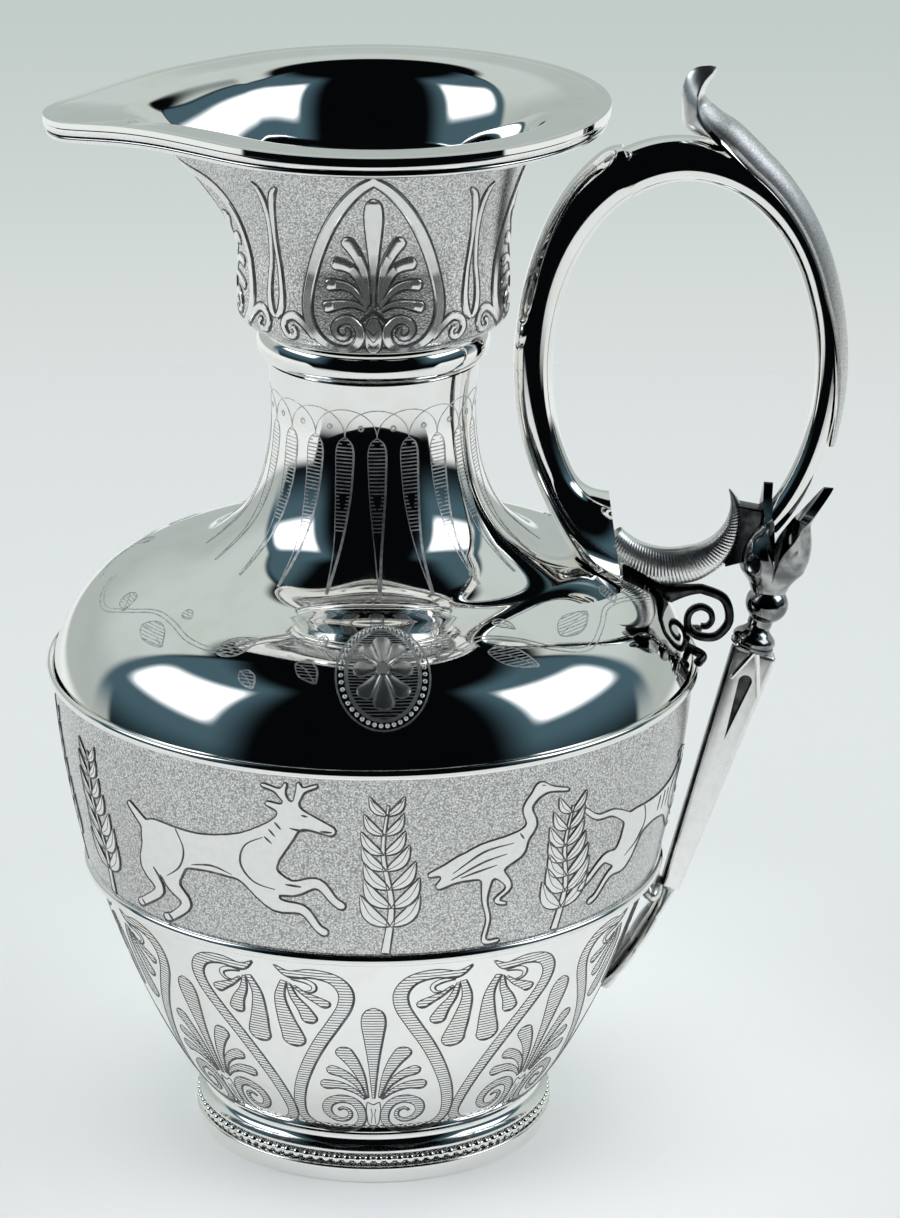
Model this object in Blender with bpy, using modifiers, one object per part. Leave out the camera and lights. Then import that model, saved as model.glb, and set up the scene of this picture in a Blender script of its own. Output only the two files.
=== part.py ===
"""A silver cream jug with a loop handle, as the pieces a silversmith would solder together.

The turned body stands on a beaded foot: a bowl, a frieze band, a shoulder with its neck, a collar and a
flared mouth drawn out into a spout. The handle springs from the shoulder as a horn with a trumpet bell,
runs over a loop into a calyx, and is carried by a strut, a scroll bracket and a palmette plate.
Sizes are in millimetres, times MM. The turning axis is local +Z; the spout points to -X, the handle to +X.
"""

import math

import bmesh
import bpy
from mathutils import Matrix, Vector

MM = 0.001

# Driving dimensions: the turned body, from the foot up
WALL = 0.9 * MM
SEAM = 0.3 * MM
FOOT_RADIUS = 30.6 * MM
FOOT_NECK_INSET = 2.0 * MM
FOOT_HEIGHT = 8.5 * MM
FOOT_BAND_HEIGHT = 3.2 * MM
FOOT_WALL = 2.2 * MM
FOOT_LAND = 4.0 * MM
EDGE = 0.4 * MM
BEAD_RADIUS = 0.85 * MM
BEAD_PITCH = 1.76 * MM
BOWL_HEIGHT = 39.9 * MM
BOWL_TOP_RADIUS = 47.6 * MM
BOWL_FOOT_LAP = 1.0 * MM
BOWL_DRAW_IN = 3.7 * MM
BOWL_FOOT_FLARE = 6.0 * MM
FRIEZE_HEIGHT = 34.3 * MM
FRIEZE_TOP_RADIUS = 53.6 * MM
FRIEZE_OVERHANG = 0.7 * MM
SHOULDER_OVERHANG = 0.2 * MM
FRIEZE_SWELL = 0.9 * MM
SHOULDER_HEIGHT = 17.7 * MM
SHOULDER_TOP_RADIUS = 33.8 * MM
NECK_HEIGHT = 35.2 * MM
NECK_RADIUS = 16.8 * MM
NECK_FLARE = 0.7 * MM
COLLAR_HEIGHT = 5.8 * MM
COLLAR_RADIUS = 19.2 * MM
COLLAR_BULGE = 1.6 * MM
MOULDING_WIDTH = 0.6 * MM
MOULDING_HALF_HEIGHT = 0.9 * MM

# Driving dimensions: the mouth
CUP_RADIUS = 22.1 * MM
CUP_HEIGHT = 13.6 * MM
CUP_CORNER = 2.8 * MM
FLARE_HEIGHT = 23.6 * MM
LIP_RADIUS = 38.4 * MM
LIP_ROLL = 4.2 * MM
LIP_BOW = 4.0 * MM
SPOUT_REACH = 53.4 * MM
SPOUT_TIP_RADIUS = 11.3 * MM
SPOUT_DROP = 2.2 * MM
SPOUT_CHANNEL = 6.0 * MM
SPOUT_HOLLOW = 7.0 * MM
RIM_WIRE_RADIUS = 1.1 * MM

# Driving dimensions: the handle
HANDLE_CLEARANCE = 1.0 * MM
KNOP_STANDOFF = 11.1 * MM
LOOP_HALF_HEIGHT = 32.7 * MM
LOOP_FLOOR_RISE = 0.7 * MM
HORN_RADIUS = 2.8 * MM
HORN_TOP_RADIUS = 3.8 * MM
STEM_RADIUS = 2.2 * MM
STEM_TOP_RADIUS = 3.2 * MM
BELL_RADIUS = 8.4 * MM
BELL_REACH = 10.6 * MM
BELL_DROP = 11.6 * MM
BELL_WALL = 1.0 * MM
PETAL_REACH = 3.8 * MM
TONGUE_HALF_WIDTH = 2.6 * MM
TONGUE_HALF_THICKNESS = 2.4 * MM
TONGUE_CURL = 5.2 * MM
TONGUE_SHIFT = 1.2 * MM
LEAF_THICKNESS = 0.9 * MM
LEAF_SWELL = 1.2 * MM
LEAF_LIFT = 2.2 * MM
THUMB_CURL_RADIUS = 5.7 * MM
THUMB_HALF_WIDTH = 4.0 * MM
THUMB_TIP_HALF_WIDTH = 0.9 * MM
CALYX_RADIUS = 5.6 * MM
CALYX_LENGTH = 17.6 * MM
CALYX_SLIT_HEIGHT = 3.0 * MM
CALYX_WALL = 1.0 * MM
CALYX_LEAN = 1.4 * MM
CALYX_BEND = 2.8 * MM
KNOP_RADIUS = 3.3 * MM
KNOP_DROP = 8.8 * MM
CAPITAL_RADIUS = 3.7 * MM
CAPITAL_HEIGHT = 4.6 * MM
STRUT_TOP_WIDTH = 7.8 * MM
STRUT_END_WIDTH = 4.6 * MM
STRUT_THICKNESS = 3.6 * MM
STRUT_EDGE = 0.5 * MM
KEYHOLE_LENGTH = 11.0 * MM
KEYHOLE_RADIUS = 1.15 * MM
KEYHOLE_DEPTH = 0.8 * MM
KEYHOLE_DROP = 5.5 * MM
HEEL_RADIUS = 1.5 * MM
HEEL_DROP = 6.9 * MM
STRUT_END_DROP = 4.2 * MM
PALMETTE_DROP = 20.5 * MM
PALMETTE_HALF_WIDTH = 5.4 * MM
PALMETTE_HALF_THICKNESS = 1.2 * MM
VOLUTE_RADIUS = 5.3 * MM
BRACKET_THICKNESS = 2.8 * MM
BRACKET_HALF_WIDTH = 0.75 * MM
LEG_RADIUS = 0.8 * MM
LEG_SPLAY = 8.0 * MM
LINK_THICKNESS = 2.4 * MM
LINK_LENGTH = 1.5 * MM

# Mesh density
SEGMENTS = 36
MOUTH_SEGMENTS = 48
TUBE_SIDES = 12

# Radii and levels that follow from the stacked sizes
FOOT_NECK_RADIUS = FOOT_RADIUS - FOOT_NECK_INSET
BOWL_FOOT_RADIUS = FOOT_NECK_RADIUS + BOWL_FOOT_LAP
BOWL_TOP_Z = FOOT_HEIGHT + BOWL_HEIGHT
FRIEZE_TOP_Z = BOWL_TOP_Z + FRIEZE_HEIGHT
SHOULDER_TOP_Z = FRIEZE_TOP_Z + SHOULDER_HEIGHT
NECK_TOP_Z = SHOULDER_TOP_Z + NECK_HEIGHT
CUP_BOTTOM_Z = NECK_TOP_Z + COLLAR_HEIGHT
FLARE_Z = CUP_BOTTOM_Z + CUP_HEIGHT
LIP_Z = FLARE_Z + FLARE_HEIGHT
UPPER_MOULDING_BACK = FRIEZE_TOP_RADIUS + SHOULDER_OVERHANG + SEAM
LOWER_MOULDING_BACK = BOWL_TOP_RADIUS + FRIEZE_OVERHANG + SEAM

# Places in the handle's own XZ plane: the loop spans from beside the cup to over the knop
KNOP_SHARE = 0.694
KNOP_X = UPPER_MOULDING_BACK + MOULDING_WIDTH + KNOP_STANDOFF
LOOP_LEFT = CUP_RADIUS + HANDLE_CLEARANCE + 2 * HORN_RADIUS
LOOP_HALF_WIDTH = (KNOP_X - LOOP_LEFT) / (1 + KNOP_SHARE)
LOOP_X = LOOP_LEFT + LOOP_HALF_WIDTH
LOOP_FLOOR_Z = SHOULDER_TOP_Z + LOOP_FLOOR_RISE
LOOP_Z = LOOP_FLOOR_Z + LOOP_HALF_HEIGHT
TONGUE_X = LOOP_X - TONGUE_SHIFT
KNOP_Z = LOOP_FLOOR_Z - KNOP_DROP

# Finishes: colour, roughness
POLISHED = ((0.93, 0.92, 0.90, 1.0), 0.06)
STIPPLED = ((0.60, 0.59, 0.58, 1.0), 0.45)
ENGRAVED = ((0.84, 0.83, 0.81, 1.0), 0.22)


def clear_scene():
    """Remove what the scene holds, so the script gives the same model each run."""
    for item in list(bpy.data.objects):
        bpy.data.objects.remove(item, do_unlink=True)


def new_collection(name):
    collection = bpy.data.collections.get(name) or bpy.data.collections.new(name)
    if name not in bpy.context.scene.collection.children:
        bpy.context.scene.collection.children.link(collection)
    return collection


def silver(name, finish):
    """A Principled material of the given colour and roughness, for one piece."""
    colour, roughness = finish
    material = bpy.data.materials.new(name + "_silver")
    material.use_nodes = True
    shader = material.node_tree.nodes["Principled BSDF"]
    shader.inputs["Base Color"].default_value = colour
    shader.inputs["Roughness"].default_value = roughness
    shader.inputs["Metallic"].default_value = 1.0
    return material


def add_piece(name, data, finish):
    """Put a mesh or curve in the model under its name, on the jug's axis and with its own silver."""
    piece = bpy.data.objects.new(name, data)
    data.materials.append(silver(name, finish))
    new_collection("cream_jug").objects.link(piece)
    piece.parent = bpy.data.objects["jug_axis"]
    if isinstance(data, bpy.types.Mesh):
        data.shade_smooth()
        data.set_sharp_from_angle(angle=math.radians(40))
    return piece


def bezier(start, leave, arrive, end, steps):
    """Points along a cubic from start to end, both included."""
    points = []
    for i in range(steps + 1):
        t = i / steps
        weights = ((1 - t) ** 3, 3 * t * (1 - t) ** 2, 3 * t * t * (1 - t), t ** 3)
        knots = (start, leave, arrive, end)
        points.append(tuple(sum(w * k[axis] for w, k in zip(weights, knots)) for axis in (0, 1)))
    return points


def inset(outline, distance):
    """A copy of an open outline that runs down its outer side, moved towards the axis by a wall."""
    moved = []
    last = len(outline) - 1
    for i, (r, z) in enumerate(outline):
        before = outline[max(i - 1, 0)]
        after = outline[min(i + 1, last)]
        along = Vector((after[0] - before[0], after[1] - before[1])).normalized()
        moved.append((r + along.y * distance, z - along.x * distance))
    return moved


def value_at(outline, known, wanted, where):
    """The wanted coordinate of an outline where its known coordinate equals the given value."""
    for one, two in zip(outline, outline[1:]):
        low, high = sorted((one[known], two[known]))
        if low <= where <= high and high > low:
            share = (where - one[known]) / (two[known] - one[known])
            return one[wanted] + share * (two[wanted] - one[wanted])
    nearest = min(outline, key=lambda point: abs(point[known] - where))
    return nearest[wanted]


def bowl_outline(steps):
    """The bowl's outer side, from the lower joint down to the foot."""
    top = (BOWL_TOP_RADIUS, BOWL_TOP_Z - SEAM / 2)
    foot = (BOWL_FOOT_RADIUS, FOOT_HEIGHT + SEAM)
    rise = BOWL_HEIGHT
    leave = (top[0] - BOWL_DRAW_IN, top[1] - 0.33 * rise)
    arrive = (foot[0] + BOWL_FOOT_FLARE, foot[1] + 0.16 * rise)
    return bezier(top, leave, arrive, foot, steps)


def frieze_outline(steps):
    """The frieze band's outer side, a slightly swelling taper between its two joints."""
    top = (FRIEZE_TOP_RADIUS, FRIEZE_TOP_Z - SEAM / 2)
    foot = (BOWL_TOP_RADIUS + FRIEZE_OVERHANG, BOWL_TOP_Z + SEAM / 2)
    leave = (top[0] - 0.45 * FRIEZE_SWELL, top[1] - FRIEZE_HEIGHT / 3)
    arrive = (foot[0] + (top[0] - foot[0]) / 3 + FRIEZE_SWELL, foot[1] + FRIEZE_HEIGHT / 3)
    return bezier(top, leave, arrive, foot, steps)


def shoulder_outline(steps):
    """The neck and the shoulder in one sweep, from under the collar down to the upper joint."""
    waist = (NECK_RADIUS, NECK_TOP_Z - 0.25 * NECK_HEIGHT)
    break_ = (SHOULDER_TOP_RADIUS, SHOULDER_TOP_Z)
    foot = (FRIEZE_TOP_RADIUS + SHOULDER_OVERHANG, FRIEZE_TOP_Z + SEAM / 2)
    neck = [(NECK_RADIUS + NECK_FLARE, NECK_TOP_Z - SEAM / 2), waist]
    reach = SHOULDER_TOP_RADIUS - NECK_RADIUS
    sweep = bezier(waist, (waist[0] + 0.4 * NECK_FLARE, waist[1] - 0.6 * (waist[1] - break_[1])),
                   (break_[0] - 0.56 * reach, break_[1] + 0.124 * SHOULDER_HEIGHT), break_, steps)
    dome_reach = foot[0] - break_[0]
    dome = bezier(break_, (break_[0] + 0.56 * dome_reach, break_[1] - 0.153 * SHOULDER_HEIGHT),
                  (foot[0] - 0.05 * SHOULDER_HEIGHT, foot[1] + 0.5 * SHOULDER_HEIGHT), foot, steps)
    return neck + sweep[1:] + dome[1:]


SHOULDER_LINE = shoulder_outline(40)
BOWL_LINE = bowl_outline(40)


def shoulder_z(radius):
    """Height of the shoulder's outer face at a radius."""
    return value_at(SHOULDER_LINE, 0, 1, radius)


def shoulder_radius(z):
    """Radius of the shoulder's outer face at a height."""
    return value_at(SHOULDER_LINE, 1, 0, z)


def bowl_radius(z):
    """Radius of the bowl's outer face at a height."""
    return value_at(BOWL_LINE, 1, 0, z)


def above_shoulder(point, lift):
    """The point itself, or the same place raised to lie clear of the shoulder."""
    floor = shoulder_z(math.hypot(point.x, point.y)) + lift
    return Vector((point.x, point.y, max(point.z, floor)))


def turned(name, outline, finish, closed=True, segments=SEGMENTS):
    """Turn an outline about the jug's axis; a closed outline makes a ring."""
    mesh = bpy.data.meshes.new(name)
    count = len(outline)
    edges = [(i, (i + 1) % count) for i in range(count if closed else count - 1)]
    mesh.from_pydata([(r, 0.0, z) for r, z in outline], edges, [])
    piece = add_piece(name, mesh, finish)
    screw = piece.modifiers.new("turn", 'SCREW')
    screw.steps = segments
    screw.render_steps = segments
    screw.use_merge_vertices = True
    screw.merge_threshold = 0.00001
    return piece


def turned_shell(name, outline, finish):
    """A turned wall, open at both ends, from its outer side."""
    return turned(name, outline + inset(outline, WALL)[::-1], finish)


def loft(name, rings, finish):
    """Skin a row of closed rings of equal count, with a fan at each end."""
    shape = bmesh.new()
    rows = [[shape.verts.new(point) for point in ring] for ring in rings]
    count = len(rings[0])
    for one, two in zip(rows, rows[1:]):
        for i in range(count):
            shape.faces.new((one[i], one[(i + 1) % count], two[(i + 1) % count], two[i]))
    for row in (rows[0], rows[-1]):
        middle = shape.verts.new(sum((v.co for v in row), Vector()) / count)
        for i in range(count):
            shape.faces.new((row[i], row[(i + 1) % count], middle))
    bmesh.ops.recalc_face_normals(shape, faces=shape.faces)
    mesh = bpy.data.meshes.new(name)
    shape.to_mesh(mesh)
    shape.free()
    return add_piece(name, mesh, finish)


def skin(name, rows, thickness, finish, cyclic):
    """An open surface through rows of points, thickened towards its outer side."""
    shape = bmesh.new()
    grid = [[shape.verts.new(point) for point in row] for row in rows]
    count = len(rows[0])
    for one, two in zip(grid, grid[1:]):
        for i in range(count if cyclic else count - 1):
            shape.faces.new((one[i], one[(i + 1) % count], two[(i + 1) % count], two[i]))
    mesh = bpy.data.meshes.new(name)
    shape.to_mesh(mesh)
    shape.free()
    piece = add_piece(name, mesh, finish)
    wall = piece.modifiers.new("wall", 'SOLIDIFY')
    wall.thickness = thickness
    wall.offset = 1.0
    return piece


def tube(name, points, radii, finish, cyclic=False):
    """A round wire or rod through the points, with a radius at each."""
    curve = bpy.data.curves.new(name, 'CURVE')
    curve.dimensions = '3D'
    curve.bevel_depth = 1.0
    curve.bevel_resolution = 1
    curve.use_fill_caps = True
    spline = curve.splines.new('POLY')
    spline.points.add(len(points) - 1)
    for knot, point, radius in zip(spline.points, points, radii):
        knot.co = (*point, 1.0)
        knot.radius = radius
    spline.use_cyclic_u = cyclic
    return add_piece(name, curve, finish)


def flat_curve(name, outline, thickness):
    """A filled outline in the handle's XZ plane, of the given thickness across it."""
    curve = bpy.data.curves.new(name, 'CURVE')
    curve.dimensions = '2D'
    curve.fill_mode = 'BOTH'
    curve.extrude = thickness / 2
    spline = curve.splines.new('POLY')
    spline.points.add(len(outline) - 1)
    for knot, (x, z) in zip(spline.points, outline):
        knot.co = (x, z, 0.0, 1.0)
    spline.use_cyclic_u = True
    return curve


def curve_to_mesh(curve, matrix):
    """The curve's solid as a welded mesh, moved by the matrix."""
    holder = bpy.data.objects.new(curve.name, curve)
    bpy.context.scene.collection.objects.link(holder)
    graph = bpy.context.evaluated_depsgraph_get()
    mesh = bpy.data.meshes.new_from_object(holder.evaluated_get(graph))
    bpy.data.objects.remove(holder, do_unlink=True)
    shape = bmesh.new()
    shape.from_mesh(mesh)
    bmesh.ops.remove_doubles(shape, verts=shape.verts, dist=0.000001)
    bmesh.ops.transform(shape, matrix=matrix, verts=shape.verts)
    shape.to_mesh(mesh)
    shape.free()
    return mesh


def cut(piece, cutter_mesh):
    """Take a hidden cutter out of a piece."""
    cutter = bpy.data.objects.new(piece.name + "_cutter", cutter_mesh)
    new_collection("cutters").objects.link(cutter)
    cutter.parent = piece.parent
    cutter.hide_render = True
    cutter.display_type = 'WIRE'
    boolean = piece.modifiers.new("cut", 'BOOLEAN')
    boolean.operation = 'DIFFERENCE'
    boolean.solver = 'EXACT'
    boolean.object = cutter


def smooth_path(knots, per_span):
    """Points on a smooth curve through the knots, each knot a tuple of any length."""
    points = []
    last = len(knots) - 1
    for i in range(last):
        a, b = knots[max(i - 1, 0)], knots[i]
        c, d = knots[i + 1], knots[min(i + 2, last)]
        for step in range(per_span):
            t = step / per_span
            points.append(tuple(
                0.5 * (2 * q + (r - p) * t + (2 * p - 5 * q + 4 * r - s) * t * t
                       + (3 * q - p - 3 * r + s) * t ** 3)
                for p, q, r, s in zip(a, b, c, d)))
    points.append(tuple(knots[-1]))
    return points


def ring_of_circle(centre, along, across_half, up_half, sides=TUBE_SIDES):
    """A ring square to a direction in the XZ plane, from its crown, with its own two half sizes."""
    up = Vector((-along.z, 0.0, along.x))
    side = Vector((0.0, 1.0, 0.0))
    turns = [2 * math.pi * i / sides for i in range(sides)]
    return [centre + up * (up_half * math.cos(a)) + side * (across_half * math.sin(a)) for a in turns]


def blend(low, high, share):
    return low + (high - low) * share


def loop_point(angle, tube_radius):
    """Centre of a tube that lies against the loop's opening, at an angle in degrees from +X."""
    a = math.radians(angle)
    return Vector((LOOP_X + (LOOP_HALF_WIDTH + tube_radius) * math.cos(a), 0.0,
                   LOOP_Z + (LOOP_HALF_HEIGHT + tube_radius) * math.sin(a)))


def loop_outward(angle):
    """The direction away from the loop's opening at an angle."""
    a = math.radians(angle)
    return Vector((math.cos(a) / LOOP_HALF_WIDTH, 0.0, math.sin(a) / LOOP_HALF_HEIGHT)).normalized()


# Angles around the loop where its pieces meet
SLEEVE_ANGLE = 110.0
BELL_ANGLE = 212.0
STEM_END_ANGLE = -46.0
THUMB_ANGLE = 83.0
LEAF_END_ANGLE = -22.0
LEAF_REACH_LOW = math.radians(20.0)
LEAF_REACH_TOP = math.radians(75.0)
CURL_START = 239.0
CURL_END = 115.0
PETAL_ANGLE = 120.0
TONGUE_START = -126.0
TONGUE_END = -6.0
LINK_START = -60.0
LINK_ANGLE = -35.0
MOUTH_TILT = math.radians(12.0)


def stem_radius(angle):
    """The stem tapers from the sleeve over the top of the loop to its right side."""
    share = min(max((SLEEVE_ANGLE - angle) / 90.0, 0.0), 1.0)
    return blend(STEM_TOP_RADIUS, STEM_RADIUS, share)


def horn_radius(angle):
    """The horn tapers from its sleeve down to the side of the loop."""
    share = min(max((angle - SLEEVE_ANGLE) / 60.0, 0.0), 1.0)
    return blend(HORN_TOP_RADIUS, HORN_RADIUS, share * share * (3 - 2 * share))


def stem_end():
    return loop_point(STEM_END_ANGLE, stem_radius(STEM_END_ANGLE))


def make_foot():
    bead_z = FOOT_BAND_HEIGHT + BEAD_RADIUS
    ledge = FOOT_RADIUS - 1.9 * BEAD_RADIUS - SEAM
    collar_z = bead_z + BEAD_RADIUS + SEAM
    outline = [
        (FOOT_NECK_RADIUS + EDGE, FOOT_HEIGHT),
        (FOOT_NECK_RADIUS, FOOT_HEIGHT - 2 * EDGE),
        (blend(FOOT_NECK_RADIUS, FOOT_RADIUS, 0.2), blend(FOOT_HEIGHT, collar_z, 0.55)),
        (blend(FOOT_NECK_RADIUS, FOOT_RADIUS, 0.75), collar_z + EDGE),
        (blend(FOOT_NECK_RADIUS, FOOT_RADIUS, 0.75), collar_z),
        (ledge, collar_z),
        (ledge, FOOT_BAND_HEIGHT - SEAM),
        (FOOT_RADIUS, FOOT_BAND_HEIGHT - SEAM),
        (FOOT_RADIUS, EDGE),
        (FOOT_RADIUS - EDGE, 0.0),
        (FOOT_RADIUS - FOOT_LAND, 0.0),
        (FOOT_NECK_RADIUS - FOOT_WALL, FOOT_BAND_HEIGHT),
        (FOOT_NECK_RADIUS - FOOT_WALL, FOOT_HEIGHT),
    ]
    turned("foot_ring", outline, POLISHED)
    ring_radius = FOOT_RADIUS - BEAD_RADIUS
    count = round(2 * math.pi * ring_radius / BEAD_PITCH)
    points = []
    radii = []
    for i in range(2 * count):
        a = math.pi * i / count
        points.append((ring_radius * math.cos(a), ring_radius * math.sin(a), bead_z))
        radii.append(BEAD_RADIUS if i % 2 else 0.62 * BEAD_RADIUS)
    tube("foot_bead_wire", points, radii, POLISHED, cyclic=True)


def make_bowl():
    outer = bowl_outline(8)
    inner = inset(outer, WALL)
    floor_z = outer[-1][1]
    inner[-1] = (inner[-1][0], floor_z + WALL)
    outline = [(0.0, floor_z + WALL)] + inner[::-1] + outer + [(0.0, floor_z)]
    turned("lower_bowl", outline, ENGRAVED, closed=False)


def make_body():
    turned_shell("frieze_band", frieze_outline(4), STIPPLED)
    turned_shell("shoulder_neck", shoulder_outline(6), POLISHED)


def half_round(radius, z, width, half_height):
    """A half-round wire with its flat back towards the axis, run down its outer side."""
    arc = [math.radians(a) for a in (90, 45, 0, -45, -90)]
    return [(radius + width * math.cos(a), z + half_height * math.sin(a)) for a in arc]


def make_mouldings():
    size = (MOULDING_WIDTH, MOULDING_HALF_HEIGHT)
    turned("upper_moulding", half_round(UPPER_MOULDING_BACK, FRIEZE_TOP_Z, *size), POLISHED)
    turned("lower_moulding", half_round(LOWER_MOULDING_BACK, BOWL_TOP_Z, *size), POLISHED)
    bore = NECK_RADIUS + NECK_FLARE - WALL
    middle = NECK_TOP_Z + COLLAR_HEIGHT / 2
    half = COLLAR_HEIGHT / 2 - SEAM
    ring = half_round(COLLAR_RADIUS - COLLAR_BULGE, middle, COLLAR_BULGE, half)
    turned("neck_collar", ring + [(bore, middle - half), (bore, middle + half)], POLISHED)


def lip_reach(angle):
    """Distance from the axis to the lip's edge: a circle drawn out to the rounded spout tip at -X."""
    tip_x = SPOUT_REACH - SPOUT_TIP_RADIUS
    lean = math.acos((LIP_RADIUS - SPOUT_TIP_RADIUS) / tip_x)
    off = abs(math.pi - angle % (2 * math.pi))
    if off >= lean:
        return LIP_RADIUS
    tip_side = math.atan2(SPOUT_TIP_RADIUS * math.sin(lean), tip_x + SPOUT_TIP_RADIUS * math.cos(lean))
    if off >= tip_side:
        return LIP_RADIUS / math.cos(lean - off)
    return tip_x * math.cos(off) + math.sqrt(SPOUT_TIP_RADIUS ** 2 - (tip_x * math.sin(off)) ** 2)


def spout_share(angle):
    """How far a direction belongs to the spout, from 0 on the round lip to 1 at the tip."""
    share = (lip_reach(angle) - LIP_RADIUS) / (SPOUT_REACH - LIP_RADIUS)
    return share * share * (3 - 2 * share)


def mouth_section(angle, steps):
    """The inner face of the cup and its flare in one direction, from the bottom up."""
    spout = spout_share(angle)
    wall = CUP_RADIUS - WALL
    edge = (lip_reach(angle), LIP_Z - SPOUT_DROP * spout)
    corner = [(wall - CUP_CORNER * (1 - math.sin(a)), CUP_BOTTOM_Z + WALL + CUP_CORNER * (1 - math.cos(a)))
              for a in (0.0, math.pi / 4, math.pi / 2)]
    flare = bezier((wall, FLARE_Z), (wall + WALL, FLARE_Z + 0.6 * FLARE_HEIGHT - SPOUT_CHANNEL * spout),
                   (wall + LIP_BOW + SPOUT_HOLLOW * spout, edge[1] - LIP_ROLL - 0.5 * SPOUT_CHANNEL * spout),
                   edge, steps)
    return corner + flare


def make_mouth():
    even = [2 * math.pi * i / MOUTH_SEGMENTS for i in range(MOUTH_SEGMENTS)]
    turns = [a + 0.5 * math.sin(a) for a in even]
    sections = [mouth_section(a, 7) for a in turns]
    rows = []
    for k in range(len(sections[0])):
        rows.append([(s[k][0] * math.cos(a), s[k][0] * math.sin(a), s[k][1])
                     for s, a in zip(sections, turns)])
    skin("mouth_cup", rows, WALL, STIPPLED, cyclic=True)
    drop = WALL + SEAM + RIM_WIRE_RADIUS
    points = []
    for s, a in zip(sections, turns):
        (r0, z0), (r1, z1) = s[-2], s[-1]
        slope = Vector((r1 - r0, z1 - z0)).normalized()
        r = r1 - RIM_WIRE_RADIUS * 1.3 + slope.y * drop
        z = z1 - slope.y / slope.x * RIM_WIRE_RADIUS * 1.3 - slope.x * drop
        points.append((r * math.cos(a), r * math.sin(a), z))
    tube("rim_wire", points, [RIM_WIRE_RADIUS] * len(points), POLISHED, cyclic=True)


def make_horn():
    """The left half of the loop, from its sleeve down into a hollow trumpet bell on the shoulder."""
    rings = []
    for i in range(9):
        angle = blend(SLEEVE_ANGLE, BELL_ANGLE, i / 8)
        radius = horn_radius(angle)
        outward = loop_outward(angle)
        along = Vector((-outward.z, 0.0, outward.x))
        rings.append(bell_ring(loop_point(angle, radius), along, radius, 0.0, SEAM))
    start = loop_point(BELL_ANGLE, HORN_RADIUS)
    outward = loop_outward(BELL_ANGLE)
    leave = start + Vector((-outward.z, 0.0, outward.x)) * (0.6 * BELL_DROP)
    mouth = start + Vector((BELL_REACH, 0.0, -BELL_DROP))
    facing = Vector((math.cos(MOUTH_TILT), 0.0, math.sin(MOUTH_TILT)))
    arrive = mouth - facing * (0.55 * BELL_REACH)
    steps = 6
    path = bezier((start.x, start.z), (leave.x, leave.z), (arrive.x, arrive.z), (mouth.x, mouth.z), steps)
    stations = []
    for i in range(1, steps + 1):
        share = i / steps
        before, after = path[i - 1], path[min(i + 1, steps)]
        along = Vector((after[0] - before[0], 0.0, after[1] - before[1])).normalized()
        if i == steps:
            along = facing
        radius = blend(HORN_RADIUS, BELL_RADIUS, share ** 1.7)
        stations.append((Vector((path[i][0], 0.0, path[i][1])), along, radius, PETAL_REACH * share ** 3))
    for centre, along, radius, petal in stations:
        rings.append(bell_ring(centre, along, radius, petal, SEAM))
    for centre, along, radius, petal in stations[:2:-1]:
        rings.append(bell_ring(centre, along, radius - BELL_WALL, petal, SEAM + BELL_WALL))
    loft("handle_horn", rings, POLISHED)


def bell_ring(centre, along, radius, petal, lift):
    """A ring of the horn, drawn out low on each side into a petal and laid on the shoulder."""
    ring = ring_of_circle(centre, along, radius, radius)
    shaped = []
    for i, point in enumerate(ring):
        from_crown = 180.0 - abs(180.0 - 360.0 * i / len(ring))
        reach = max(0.0, 1.0 - abs(from_crown - PETAL_ANGLE) / 60.0)
        out = (point - centre).normalized()
        shaped.append(above_shoulder(point + out * (petal * reach), lift))
    return shaped


def make_stem():
    """The right half of the loop, from the sleeve over the top and down into the calyx."""
    gap = math.degrees(2.2 * SEAM / LOOP_HALF_WIDTH)
    first = SLEEVE_ANGLE - gap
    angles = [blend(first, STEM_END_ANGLE, i / 16) for i in range(17)]
    points = [loop_point(a, stem_radius(a)) for a in angles]
    tube("handle_stem", points, [stem_radius(a) for a in angles], POLISHED)


def leaf_section(seat, outward, radius, half_angle, thickness):
    """A crescent that hugs a tube: five points on its outer side, five back along its inner side."""
    side = Vector((0.0, 1.0, 0.0))
    turns = [half_angle * k / 2 for k in range(-2, 3)]
    outer = []
    inner = []
    for a in turns:
        way = side * math.sin(a) + outward * math.cos(a)
        taper = 1.0 - 0.6 * abs(a) / half_angle
        inner.append(seat + way * radius - outward * radius)
        outer.append(seat + way * (radius + thickness * taper) - outward * radius)
    return outer + inner[::-1]


def make_thumb_leaf():
    """A leaf that lies along the outside of the loop, lifts off it and curls up into a thumb rest."""
    rings = []
    for i in range(10):
        share = i / 9
        angle = blend(LEAF_END_ANGLE, THUMB_ANGLE, share)
        radius = stem_radius(angle) + SEAM
        outward = loop_outward(angle)
        seat = loop_point(angle, radius - SEAM) + outward * (radius + LEAF_LIFT * share ** 6)
        thickness = LEAF_THICKNESS + LEAF_SWELL * share ** 4
        reach = blend(LEAF_REACH_LOW, LEAF_REACH_TOP, share ** 0.7)
        rings.append(leaf_section(seat, outward, radius, reach, thickness))
    angle = math.radians(CURL_START)
    hub = seat - THUMB_CURL_RADIUS * Vector((math.cos(angle), 0.0, math.sin(angle)))
    flat = 2.2 * THUMB_HALF_WIDTH
    for i in range(1, 7):
        share = i / 6
        turn = math.radians(blend(CURL_START, CURL_END, share))
        spoke = Vector((math.cos(turn), 0.0, math.sin(turn)))
        reach = math.asin(blend(THUMB_HALF_WIDTH, THUMB_TIP_HALF_WIDTH, share ** 2) / flat)
        thickness = LEAF_THICKNESS + LEAF_SWELL * (1 - share)
        rings.append(leaf_section(hub + spoke * THUMB_CURL_RADIUS, -spoke, flat, reach, thickness))
    loft("thumb_leaf", rings, STIPPLED)


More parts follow.
